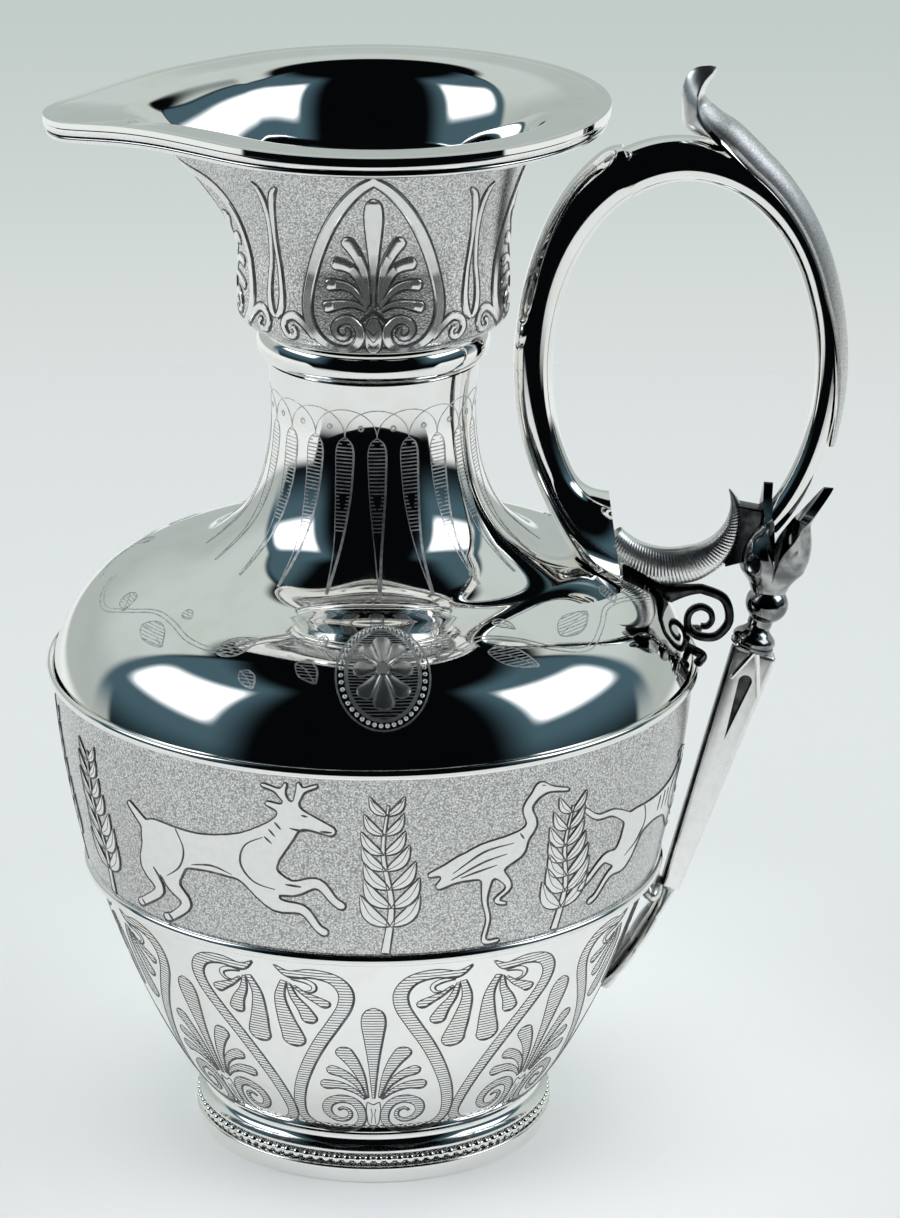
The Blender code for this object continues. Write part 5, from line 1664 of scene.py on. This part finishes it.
def make_neck_engraving():
    """Twenty hatched tongues round the neck, under a row of crossing arcs with a dot in each."""
    lines = Relief(Board(SHOULDER_LINE, foot_z=102.5 * MM, radius=NECK_BOARD_RADIUS))
    pitch = 2 * pi * NECK_BOARD_RADIUS / NECK_COPIES
    outline = outline_of(*shaped(NECK_TONGUE))
    lines.contour(outline, thin=0.07, thick=0.2)
    lines.hatch(outline, pitch=0.66, half=0.11, low=13.5)
    arcs = [(pitch * cos(a) + pitch, ARC_FOOT_V + ARC_RISE * sin(a))
            for a in (pi * k / 24 for k in range(25))]
    lines.band(arcs, 0.085, CUT_RISE)
    lines.band(ellipse(pitch / 2, DOT_V, DOT_RADIUS, DOT_RADIUS, 10), 0.17, CUT_RISE, closed=True)
    mesh = lines.mesh()
    mesh.transform(Matrix.Rotation(NECK_TURN, 4, 'Z'))
    mesh = grown(mesh, ring_tree(), Copies=NECK_COPIES, Material=bright_cut_silver())
    add_piece("neck_engraving", mesh, bright_cut_silver())


VINES = (
    ((-6.6, 20.5), (-12, 24.3), (-19, 23.5), (-26, 19.2), (-33, 19.3), (-40, 21.6), (-46, 22), (-52, 19.2),
     (-58, 16.6), (-64, 17.4), (-69, 20)),
    ((9.6, 20), (14, 21.6), (20, 23.8), (26, 22), (32, 18), (38, 16), (44, 18.4), (50, 21), (56, 20.2), (62, 17.4),
     (68, 17))
)
VINE_LEAVES = (
    ((-27.5, 18.8), (-24.6, 20.6), (-21.2, 23.4)), ((-45.5, 18.6), (-42, 18.4), (-37.6, 16.4)),
    ((-12.8, 18.9), (-11, 18), (-8.9, 15.2)), ((-21.4, 15.9), (-20, 15), (-18.4, 13)),
    ((-9.2, 26.4), (-9.3, 25), (-8.6, 23.5)), ((-40.4, 25.6), (-39, 24.4), (-37.4, 24)),
    ((-57.6, 21.8), (-55, 20.4), (-53, 18.6)), ((19.8, 20.4), (23, 18.9), (27.2, 15.6)),
    ((34.8, 20.2), (39.4, 21.6), (45.4, 22.6)), ((10.4, 20.6), (12.6, 23.4), (13.4, 26.8)),
    ((24.4, 27.2), (26.6, 26.4), (27.6, 24.4)), ((57.4, 24.4), (55.2, 22.6), (53.4, 20.8))
)


MEDALLION = (1.5, 18.6)
MEDALLION_RINGS = ((7.5, 11.4, 0.16), (5.9, 9.7, 0.3))
MEDALLION_GROUND = (5.7, 9.5)
MEDALLION_BEADS = (6.7, 10.55, 46)
PETAL_SPINE = (1.6, 3.6, 5.6, 7.8)
VINE_HALF = 0.42


def ellipse(x, v, half_x, half_v, count=72):
    return [(x + half_x * cos(a), v + half_v * sin(a)) for a in turns(count)]


def make_shoulder_engraving():
    """A vine either side of an oval medallion with a rosette, cut in front and behind."""
    board = Board(SHOULDER_LINE, foot_z=82.85 * MM, radius=45.0)
    lines = Relief(board)
    for vine in VINES:
        path = even(smooth_path(vine, 10), 0.7)
        for offset in (-VINE_HALF, VINE_HALF):
            lines.band([tuple(p) for p in np.array(path) + side_steps(path) * offset], 0.1, CUT_RISE)
    for spine in VINE_LEAVES:
        size = min(2.1, 0.3 * dist(spine[0], spine[-1]))
        path, halves = pointed(spine, 8, 0.5, lambda t: size * (sin(pi * t ** 0.8) ** 0.9) + 0.02)
        outline = outline_of(path, halves)
        lines.contour(outline, 0.09, 0.2)
        lines.band(path, 0.07, 0.04 * MM)
        lines.hatch(outline, 0.62, 0.09)
    for half_x, half_v, width in MEDALLION_RINGS:
        lines.band(ellipse(*MEDALLION, half_x, half_v), width, 0.05 * MM, closed=True)
    lines.hatch(ellipse(*MEDALLION, *MEDALLION_GROUND), 0.6, 0.1, 0.02 * MM)
    petals = Relief(board)
    for k, a in enumerate(turns(8)):
        spine = moved([(0.62 * s * sin(a), s * cos(a)) for s in PETAL_SPINE], *MEDALLION)
        path, halves = drop(spine, 2.5 if k % 2 else 3.0, 0.3)
        petals.band(path, halves, 0.14 * MM, STRAP)
        lines.contour(outline_of(path, [h + 0.1 for h in halves]), 0.08, 0.2, 0.05 * MM)
    petals.dot(*MEDALLION, 1.1, 0.2 * MM)
    rim = mesh_of([board.place(x, v, 0.0) for x, v in ellipse(*MEDALLION, *MEDALLION_BEADS)], [])
    beads = grown(rim, bead_tree(), Bead_Radius=0.40 * MM, Material=polished_silver())
    for name, mesh, finish in (("shoulder_engraving", lines.mesh(), bright_cut_silver()),
                               ("medallions", merged(petals.mesh(), beads), satin_silver())):
        both = grown(mesh, ring_tree(), Copies=2, Material=finish)
        add_piece(name, both, finish, slot=ENGRAVED)


CUP_BOARD_RADIUS = 24.0
CUP_FRAME = (
    (-0.5, 29.1, 1.5), (2.2, 26.9, 1.6), (5.5, 22.6, 1.65), (8.6, 16.8, 1.7), (10.8, 11, 1.7), (11.9, 5.6, 1.7),
    (11.4, 1.8, 1.7), (9.3, -1.1, 1.6), (6.2, -2.7, 1.5), (3.7, -2.3, 1.45), (2.3, -0.2, 1.4), (2.6, 1.7, 1.35),
    (4.3, 3, 1.25), (6.2, 2.4, 1.1), (6.9, 1, 0.95), (6.1, -0.2, 0.8), (4.8, -0.3, 0.65), (4.2, 0.7, 0.55),
    (4.8, 1.4, 0.4)
)
CUP_CURL = (
    (10.6, -0.8, 0.9), (12.5, 1.2, 1.1), (14.6, 2.5, 1.2), (16.5, 1.8, 1.15), (17, 0.2, 1), (15.9, -1.3, 0.9),
    (14.5, -1, 0.75), (14.4, 0.2, 0.6), (15.2, 0.5, 0.4)
)
CUP_CENTRE = (
    (0, 5.2, 0.4), (0, 10, 0.8), (0, 14, 1.5), (0, 19, 2.5), (0, 22, 2.7), (0, 24, 2.1), (0, 24.8, 1.1),
    (0, 25.1, 0.2)
)
CUP_BASE = ((0, 3.2, 1), (0, 1.2, 2.7), (0, -2.2, 2.3), (0, -4.4, 0.3))
CUP_LEAVES = (
    (((0.8, 6), (1.6, 11), (2.9, 14.5), (4.9, 17.5)), 2), (((1, 5.6), (2.4, 9.9), (4.3, 12.2), (7.4, 12.9)), 2),
    (((1.2, 5.2), (3, 7.7), (5.2, 8.9), (8.6, 8.8)), 1.7), (((1.3, 4.7), (3.2, 5.6), (5.6, 5.6), (9, 4.7)), 1.7)
)
CUP_STALK = (
    (2.6, 25.6, 0.2), (1.5, 24.2, 0.9), (0.75, 21.5, 1), (0.5, 17.5, 0.75), (0.75, 13, 0.7), (1.35, 8, 0.85),
    (1.5, 5, 1.1), (1.05, 2.7, 1.2), (0.1, 1.6, 0.5)
)


def make_cup_ornament():
    """Four palmettes in pointed frames round the cup, with a stalk between each two, on the stippled ground."""
    board = MouthBoard(foot_z=145.2 * MM, radius=CUP_BOARD_RADIUS)
    plates, lines = Relief(board), Relief(board)

    def raised(path, halves, rise=0.2 * MM):
        """A strap with a dark line round it, a little away from its edge: a cut line, and painted shadow at the
        strap's foot.
        """
        plates.band(path, halves, rise, STRAP)
        lines.contour(outline_of(path, [h + 0.2 for h in halves]), 0.1, 0.26, 0.05 * MM)

    quarter = pi / 2 * CUP_BOARD_RADIUS
    for middle in (quarter * k for k in range(4)):
        raised(*shaped(moved(CUP_CENTRE, middle)))
        raised(*shaped(moved(CUP_BASE, middle)))
        for turn in (1, -1):
            for spine, width in CUP_LEAVES:
                raised(*drop(moved(spine, middle, turn=turn), width, 0.3))
            raised(*shaped(moved(CUP_CURL, middle, turn=turn)), rise=0.22 * MM)
            raised(*shaped(moved(CUP_FRAME, middle, turn=turn)), rise=0.28 * MM)
            raised(*shaped(moved(CUP_STALK, middle + quarter / 2, turn=turn)))
            lines.band(even(moved([(0, 4.4), (2.2, 2.6)], middle, turn=turn), BAND_STEP), 0.28, 0.24 * MM)
            for low in (1.2, 0.0, -1.2):
                nick = moved([(0, low - 1.0), (0.9, low)], middle, turn=turn)
                lines.band(even(nick, 0.5), 0.08, 0.22 * MM)
    add_piece("cup_ornament", plates.mesh(), satin_silver("frosted_silver", matte=0.12, frost=0.2))
    add_piece("cup_lines", lines.mesh(), cut_silver(), slot=ENGRAVED)


# Animals, in mm: limbs with x, v and radius at each knot, and the lines cut in them
STAG = (
    ((8.8, 15.4, 4.3), (17.4, 16, 3.4), (26, 16.6, 4.6)), ((27, 17.8, 3.9), (31.2, 22, 2.5), (33.4, 25, 1.9)),
    ((33.4, 25.3, 2), (36.6, 24.3, 1.3), (39.4, 23.1, 0.9)), ((32.4, 26.4, 0.8), (29.6, 27.2, 0.45)),
    ((33.2, 26.8, 0.5), (31.6, 29.4, 0.42), (28.8, 30.4, 0.36)), ((31.9, 28.9, 0.4), (32.6, 31, 0.34)),
    ((34, 26.8, 0.5), (34.8, 29.6, 0.4), (37.4, 31, 0.34)), ((34.6, 29, 0.4), (34.6, 31.2, 0.34)),
    ((27.5, 13.8, 2.9), (32.6, 11.9, 1.5), (37, 13.3, 0.95), (39.6, 10.2, 0.7), (40.8, 9.2, 0.8)),
    ((26.6, 13.2, 2.6), (29.8, 8.6, 1.4), (34.4, 8, 0.9), (36.7, 4.8, 0.7), (37.8, 3.9, 0.8)),
    ((9, 14, 4.1), (5, 9.8, 2), (6.8, 6, 1), (2.4, 2.6, 0.75), (0.6, 1.6, 0.8)),
    ((10.5, 13.4, 3.5), (10, 8.4, 1.8), (12.6, 5, 1), (9, 1.6, 0.7), (7.2, 0.8, 0.8)),
    ((5, 18.6, 1), (2.6, 20.8, 0.6))
)
STAG_LINES = (
    ((28.6, 21), (25.4, 19), (24.4, 15.4), (26.4, 12.4), (30, 11.4)),
    ((12.6, 19.2), (13.8, 15.6), (12.4, 12), (9.2, 9.4)), ((15, 13.1), (19, 13.9), (22.6, 13)),
    ((33, 23.2), (34.8, 22.9), (36.4, 23.2)), ((34.9, 25.7), (35.9, 25.5)), ((29.6, 22.6), (30.6, 21.4)),
    ((28.8, 21.2), (30, 20)), ((30.6, 24), (31.6, 22.8)), ((6.2, 10.2), (7.6, 8)), ((37.8, 23), (39.6, 22.9)),
    ((31.8, 12.6), (34.4, 12.4)), ((1.2, 2.4), (2, 1.4)), ((7.8, 1.6), (8.6, 0.7))
)
HOUND = (
    ((9.5, 13.4, 3.3), (17, 14, 2.4), (25, 13.6, 3.7)), ((26, 15, 2.7), (29.6, 18, 1.9)),
    ((29.8, 18.4, 1.9), (33.2, 17.8, 1.2), (36.4, 16.8, 0.85)), ((29.2, 19.6, 0.9), (26.4, 20.2, 0.55)),
    ((26, 12.2, 2.5), (30.6, 10.2, 1.2), (35.6, 9.9, 0.75), (38.6, 8.4, 0.7)),
    ((25, 11.6, 2.3), (28.2, 7.4, 1.2), (33.2, 5.8, 0.7), (36, 4.2, 0.7)),
    ((9.5, 12.2, 3.1), (6, 9, 1.7), (2.4, 9.6, 0.9), (-1.2, 6.4, 0.65), (-2.6, 5.6, 0.65)),
    ((10.5, 11.8, 2.7), (8.8, 6.8, 1.4), (4.8, 6, 0.8), (2, 2.6, 0.65), (0.6, 2, 0.65)),
    ((7.6, 15.4, 1), (3, 18, 0.65), (-1, 18.4, 0.5), (-4, 20.6, 0.42))
)
HOUND_LINES = (
    ((27.6, 17.4), (24.6, 15.6), (24, 12.6), (26.4, 10.2), (29.2, 9.6)),
    ((12.2, 16.2), (13.2, 13), (11.6, 10.2), (8.2, 8.2)), ((18.6, 15.6), (18, 13)), ((20.6, 15.8), (20, 12.6)),
    ((22.4, 15.6), (22, 12.4)), ((31.4, 19.1), (32.3, 18.9)), ((28.2, 19.6), (29.8, 16.6)),
    ((27.4, 19), (28.8, 16)), ((33.6, 16.8), (36.4, 16.4)), ((29.6, 19.6), (27.4, 19.7))
)
CRANE = (
    ((6, 15.5, 2.2), (10, 16.5, 3.3), (14.5, 18, 2.6)),
    ((14.5, 18.6, 1.8), (17.6, 21.5, 1), (16.6, 25, 0.85), (18.8, 27.8, 0.95)),
    ((18.8, 28, 1.15), (21, 27.4, 0.5), (24, 26.6, 0.34)), ((2.6, 12.6, 0.7), (6, 15, 1.8), (10, 16, 2)),
    ((1, 14.8, 0.5), (6, 16.5, 1.4)),
    ((10.6, 13.8, 1.1), (10.4, 9, 0.5), (11.4, 5, 0.42), (11, 0.8, 0.42), (13.6, 0.5, 0.42)),
    ((12, 14.2, 1), (14.6, 10.8, 0.5), (12.4, 8.6, 0.42), (14.2, 7.6, 0.38))
)
CRANE_LINES = (
    ((14.6, 19), (9.6, 18.2), (4.6, 14.8)), ((13.6, 17.2), (9.4, 16.2), (4.4, 13.6)),
    ((12, 15.4), (8.6, 14.6), (6, 13.8)), ((19, 28.5), (19.6, 28.4)), ((15.6, 20.6), (16.4, 19.4))
)


FIGURE_RISE = 0.13 * MM
FIGURE_CUT_RISE = 0.15 * MM
FIGURES = ((STAG, STAG_LINES, -46.0, 0.6), (CRANE, CRANE_LINES, 8.0, 0.6), (HOUND, HOUND_LINES, 40.0, 1.8))
SAPLINGS = ((-55.0, 27.0), (2.0, 28.5), (33.0, 24.0), (88.0, 28.0))


def sapling(plates, lines, x, height):
    """A young tree: a bending stem with pairs of pointed leaves."""
    stem, halves = shaped([(x, 0.6, 1.5), (x + 0.9, 0.35 * height, 1.0), (x - 0.5, 0.7 * height, 0.7),
                           (x + 0.3, height, 0.4)])
    plates.band(stem, halves, 0.11 * MM, STRAP)
    lines.contour(outline_of(stem, halves), 0.07, 0.17, 0.13 * MM)
    for k in range(7):
        share = 0.2 + 0.125 * k
        foot = stem[int(share * (len(stem) - 1))]
        reach = 6.6 * (1.05 - 0.55 * share)
        for turn in (1, -1):
            spine = moved([(reach * a, reach * b) for a, b in ((0.0, 0.0), (0.5, 0.35), (0.78, 0.98))], *foot, turn)
            path, halves = pointed(spine, 6, 0.5, lambda t: 0.2 * reach * sin(pi * t ** 0.85) + 0.03)
            plates.band(path, halves, FIGURE_RISE, STRAP)
            lines.contour(outline_of(path, halves), 0.07, 0.17, FIGURE_CUT_RISE)
            lines.band(path[1:-1], 0.06, FIGURE_CUT_RISE)


def make_frieze():
    """A row of running animals, wading birds and saplings, pale and flat on the stippled band."""
    board = Board(frieze_outline(), foot_z=BOWL_TOP_Z + 0.8 * MM, radius=51.0, unit_size=MM)
    plates, lines = Relief(board), Relief(board)
    for limbs, strokes, x, y in FIGURES:
        for loop in plates.plate(Figure(limbs, x, y), FIGURE_RISE):
            lines.contour(loop, 0.09, 0.2, FIGURE_CUT_RISE)
        for stroke in strokes:
            path, halves = pointed(moved(stroke, x, y), 6, 0.6, lambda t: 0.05 + 0.12 * sin(pi * t))
            lines.band(path, halves, 0.16 * MM)
    for x, height in SAPLINGS:
        sapling(plates, lines, x, height)
    for name, relief, finish in (("frieze_figures", plates, satin_silver("figure_silver", matte=0.1, frost=0.15)),
                                 ("frieze_lines", lines, cut_silver())):
        mesh = grown(relief.mesh(), ring_tree(), Copies=2, Material=finish)
        add_piece(name, mesh, finish, slot=ENGRAVED)


# ---- the studio

# The floor: its half size, its front edge as a share of it, and in metres from the jug where its looks change;
# it is painted lighter near the jug and glows round its foot, painted light against the jug's shadow
FLOOR_HALF = 0.8
FLOOR_FRONT = -0.41
FLOOR_FADE = (0.26, 0.55)
FLOOR_PAINTED_LIGHT = (0.045, 0.14)
FLOOR_NEAR = (-0.2, -0.07)
FLOOR_PAINTED_GLOW = (0.03, 0.1)
FLOOR_PAINTED_GLOW_COLOUR = (0.12, 0.122, 0.122, 1.0)
BLACK = (0.0, 0.0, 0.0, 1.0)


def make_floor():
    """A pale floor that fades into the backdrop, painted lighter near the jug and glowing round its foot, with a
    lamp over it that the silver doesn't show.
    """
    stage = bpy.context.scene.jug_stage
    mesh = bpy.data.meshes.new("floor")
    corners = ((-1, FLOOR_FRONT), (1, FLOOR_FRONT), (1, 1), (-1, 1))
    mesh.from_pydata([(x * FLOOR_HALF, y * FLOOR_HALF, 0.0) for x, y in corners], [], [(0, 1, 2, 3)])
    material, wire, shader = new_material("floor_paper", 0.9, 0.0)
    tree = material.node_tree
    shader.inputs["Specular IOR Level"].default_value = 0.1
    shader.inputs["Emission Strength"].default_value = 1.0
    place = wire.node("ShaderNodeTexCoord", output="Object")
    reach = wire.node("ShaderNodeVectorMath", {"operation": 'LENGTH'}, {0: place}, output="Value")
    ahead = wire.node("ShaderNodeSeparateXYZ", None, {0: place}, output="Y")
    # Painted light: the paper is lighter near the jug and glows round its foot; it is also darker towards the front
    paper = reach.between(*FLOOR_PAINTED_LIGHT).mix(tuple(stage.floor), scaled(stage.floor, 0.8))
    join(wire, shader, Base_Color=ahead.between(*FLOOR_NEAR).mix(scaled(stage.floor, 0.78), paper),
         Emission_Color=reach.between(*FLOOR_PAINTED_GLOW).mix(FLOOR_PAINTED_GLOW_COLOUR, BLACK))
    clear = wire.node("ShaderNodeBsdfTransparent")
    mixed = wire.node("ShaderNodeMixShader", None,
                      {0: reach.between(*FLOOR_FADE), 1: Wire(tree, shader.outputs[0]), 2: clear})
    tree.links.new(mixed.socket, tree.nodes["Material Output"].inputs["Surface"])
    mesh.materials.append(material)
    new_object("floor", mesh)
    data = bpy.data.lights.new("floor_light", 'AREA')
    data.size = 1.6
    data.energy = stage.floor_light
    light = new_object("floor_light", data)
    light.location = (0.0, -0.15, 1.1)
    light.visible_glossy = False
    light.visible_camera = False


# The studio's soft edges, in degrees from the front round to either side, and above the horizon
BACKDROP_SIDE, BACKDROP_TOP = (103.0, 107.0), (52.0, 57.0)
DUSK_RISE = (10.0, 30.0)
GLOW_SIDES = ((42.0, 62.0), (112.0, 118.0))
GLOW_RISE = ((-8.0, 14.0), (56.0, 66.0))
BOX_SIDES = ((59.0, 68.0), (100.0, 109.0))
BOX_FOOT, BOX_TOP = (18.0, 27.0), (62.0, 71.0)
FRONT_SIDE = (40.0, 70.0)
TABLE_EDGE = (-9.0, -5.0)
HORIZON = (-20.0, -11.0)
# Its colours
DARK_ROOM = (0.0015, 0.002, 0.0025, 1.0)
BOX_GLOW = (0.06, 0.115, 0.145, 1.0)
BOX_TINT = (0.94, 1.0, 1.04)
TABLE_COLOUR = (0.86, 0.90, 0.89, 1.0)
SEEN_LOW, SEEN_HIGH = (0.77, 0.81, 0.80, 1.0), (0.515, 0.58, 0.56, 1.0)


def make_light():
    """A studio all round: a pale backdrop, two softboxes, a dark side where the camera stands."""
    stage = bpy.context.scene.jug_stage
    world = bpy.data.worlds.new("studio")
    bpy.context.scene.world = world
    world.use_nodes = True
    tree = world.node_tree
    wire = Wire(tree)
    way = wire.node("ShaderNodeTexCoord", output="Generated")
    x, y, z = (wire.node("ShaderNodeSeparateXYZ", None, {0: way}, output=axis) for axis in range(3))
    side = wire.maths('ABSOLUTE', wire.maths('ARCTAN2', x, y * -1.0) * (180.0 / pi))
    rise = wire.maths('ARCSINE', z) * (180.0 / pi)
    backdrop = (side - rise * 0.25).between(*BACKDROP_SIDE) * (1 - rise.between(*BACKDROP_TOP))
    glow = side.within(*GLOW_SIDES) * rise.within(*GLOW_RISE)
    box = side.within(*BOX_SIDES) * rise.between(*BOX_FOOT) * (1 - (rise + side * 0.25).between(*BOX_TOP))
    front = 1 - side.between(*FRONT_SIDE)
    table = 1 - (rise + front * 60.0).between(*TABLE_EDGE)
    wall = rise.between(*DUSK_RISE).mix(scaled(stage.backdrop, 0.78), tuple(stage.backdrop))
    colour = glow.mix(backdrop.mix(DARK_ROOM, wall), BOX_GLOW)
    colour = table.mix(box.mix(colour, scaled(BOX_TINT, stage.softbox)), TABLE_COLOUR)
    eye = wire.node("ShaderNodeLightPath", output="Is Camera Ray")
    shown = eye.mix(colour, rise.between(*HORIZON).mix(SEEN_LOW, SEEN_HIGH))
    tree.links.new(shown.socket, tree.nodes["Background"].inputs["Color"])


CAMERA_PITCH = radians(19.676)
CAMERA_YAW = radians(0.879)
CAMERA_AWAY = 834.0 * MM
AIM_Z = 91.24 * MM


def make_camera():
    """The camera at the photograph's angle, turned a little to the right of the jug's axis."""
    ahead = Vector((0.0, cos(CAMERA_PITCH), -sin(CAMERA_PITCH)))
    up = Vector((0.0, sin(CAMERA_PITCH), cos(CAMERA_PITCH)))
    look = ahead * cos(CAMERA_YAW) + Vector((1.0, 0.0, 0.0)) * sin(CAMERA_YAW)
    data = bpy.data.cameras.new("camera")
    data.lens = bpy.context.scene.jug_stage.lens
    data.sensor_width = 36.0
    camera = new_object("camera", data)
    turn = Matrix((look.cross(up), up, -look)).transposed().to_4x4()
    camera.matrix_world = Matrix.Translation(Vector((AXIS_X, 0.0, AIM_Z)) - ahead * CAMERA_AWAY) @ turn
    bpy.context.scene.camera = camera
    bpy.context.scene.view_settings.view_transform = 'Standard'


# ---- operators

class JUG_OT_stage(bpy.types.Operator):
    """Make the floor, the studio light and the camera"""
    bl_idname = "cream_jug.stage"
    bl_label = "Stage"

    def execute(self, context):
        make_floor()
        make_light()
        make_camera()
        return {'FINISHED'}


class JUG_OT_foot(bpy.types.Operator):
    """Make the foot ring and its row of beads"""
    bl_idname = "cream_jug.foot"
    bl_label = "Foot"

    def execute(self, context):
        make_foot()
        make_beads()
        return {'FINISHED'}


class JUG_OT_body(bpy.types.Operator):
    """Make the bowl, the frieze's ground, the shoulder with its neck, and the wires between them"""
    bl_idname = "cream_jug.body"
    bl_label = "Body"

    def execute(self, context):
        make_body()
        return {'FINISHED'}


class JUG_OT_mouth(bpy.types.Operator):
    """Make the cup, its flared mouth with the spout, and the rolled rim"""
    bl_idname = "cream_jug.mouth"
    bl_label = "Mouth"

    def execute(self, context):
        make_mouth()
        return {'FINISHED'}


class JUG_OT_loop(bpy.types.Operator):
    """Make the loop of the handle: the horn with its bell, the stem, the thumb leaf and the tongue"""
    bl_idname = "cream_jug.loop"
    bl_label = "Handle Loop"

    def execute(self, context):
        make_horn()
        make_stem()
        make_thumb_leaf()
        make_tongue()
        return {'FINISHED'}


class JUG_OT_strut(bpy.types.Operator):
    """Make what carries the loop: calyx, knop, strut, heel, palmette, bracket and legs"""
    bl_idname = "cream_jug.strut"
    bl_label = "Handle Strut"

    def execute(self, context):
        make_link()
        make_calyx()
        make_knop()
        make_strut()
        make_heel()
        make_bracket()
        return {'FINISHED'}


class JUG_OT_frieze(bpy.types.Operator):
    """Make the row of animals and saplings on the stippled band"""
    bl_idname = "cream_jug.frieze"
    bl_label = "Frieze"

    def execute(self, context):
        make_frieze()
        return {'FINISHED'}


class JUG_OT_cup_ornament(bpy.types.Operator):
    """Make the palmettes, frames and stalks round the cup"""
    bl_idname = "cream_jug.cup_ornament"
    bl_label = "Cup Ornament"

    def execute(self, context):
        make_cup_ornament()
        return {'FINISHED'}


class JUG_OT_engraving(bpy.types.Operator):
    """Make the engraving on the bowl, the neck and the shoulder"""
    bl_idname = "cream_jug.engraving"
    bl_label = "Engraving"

    def execute(self, context):
        make_bowl_engraving()
        make_neck_engraving()
        make_shoulder_engraving()
        return {'FINISHED'}


OPERATORS = (JUG_OT_stage, JUG_OT_foot, JUG_OT_body, JUG_OT_mouth, JUG_OT_loop, JUG_OT_strut, JUG_OT_frieze,
             JUG_OT_cup_ornament, JUG_OT_engraving)


class JUG_PT_panel(bpy.types.Panel):
    """The jug's settings and the steps that build it"""
    bl_idname = "JUG_PT_panel"
    bl_label = "Cream Jug"
    bl_space_type = 'VIEW_3D'
    bl_region_type = 'UI'
    bl_category = "Cream Jug"

    def draw(self, context):
        for group in SETTINGS:
            settings = getattr(context.scene, group)
            for name in settings.__annotations__:
                self.layout.prop(settings, name)
        for operator in OPERATORS:
            self.layout.operator(operator.bl_idname)


SETTINGS = {"jug_body": JugBodySettings, "jug_finish": JugFinishSettings, "jug_stage": JugStageSettings}
CLASSES = (*SETTINGS.values(), *OPERATORS, JUG_PT_panel)


def register():
    for one in CLASSES:
        bpy.utils.register_class(one)
    for name, group in SETTINGS.items():
        setattr(bpy.types.Scene, name, PointerProperty(type=group))


def unregister():
    for name in SETTINGS:
        delattr(bpy.types.Scene, name)
    for one in reversed(CLASSES):
        bpy.utils.unregister_class(one)


def main():
    register()
    for operator in OPERATORS:
        group, name = operator.bl_idname.split(".")
        getattr(getattr(bpy.ops, group), name)()


if __name__ == "__main__":
    main()
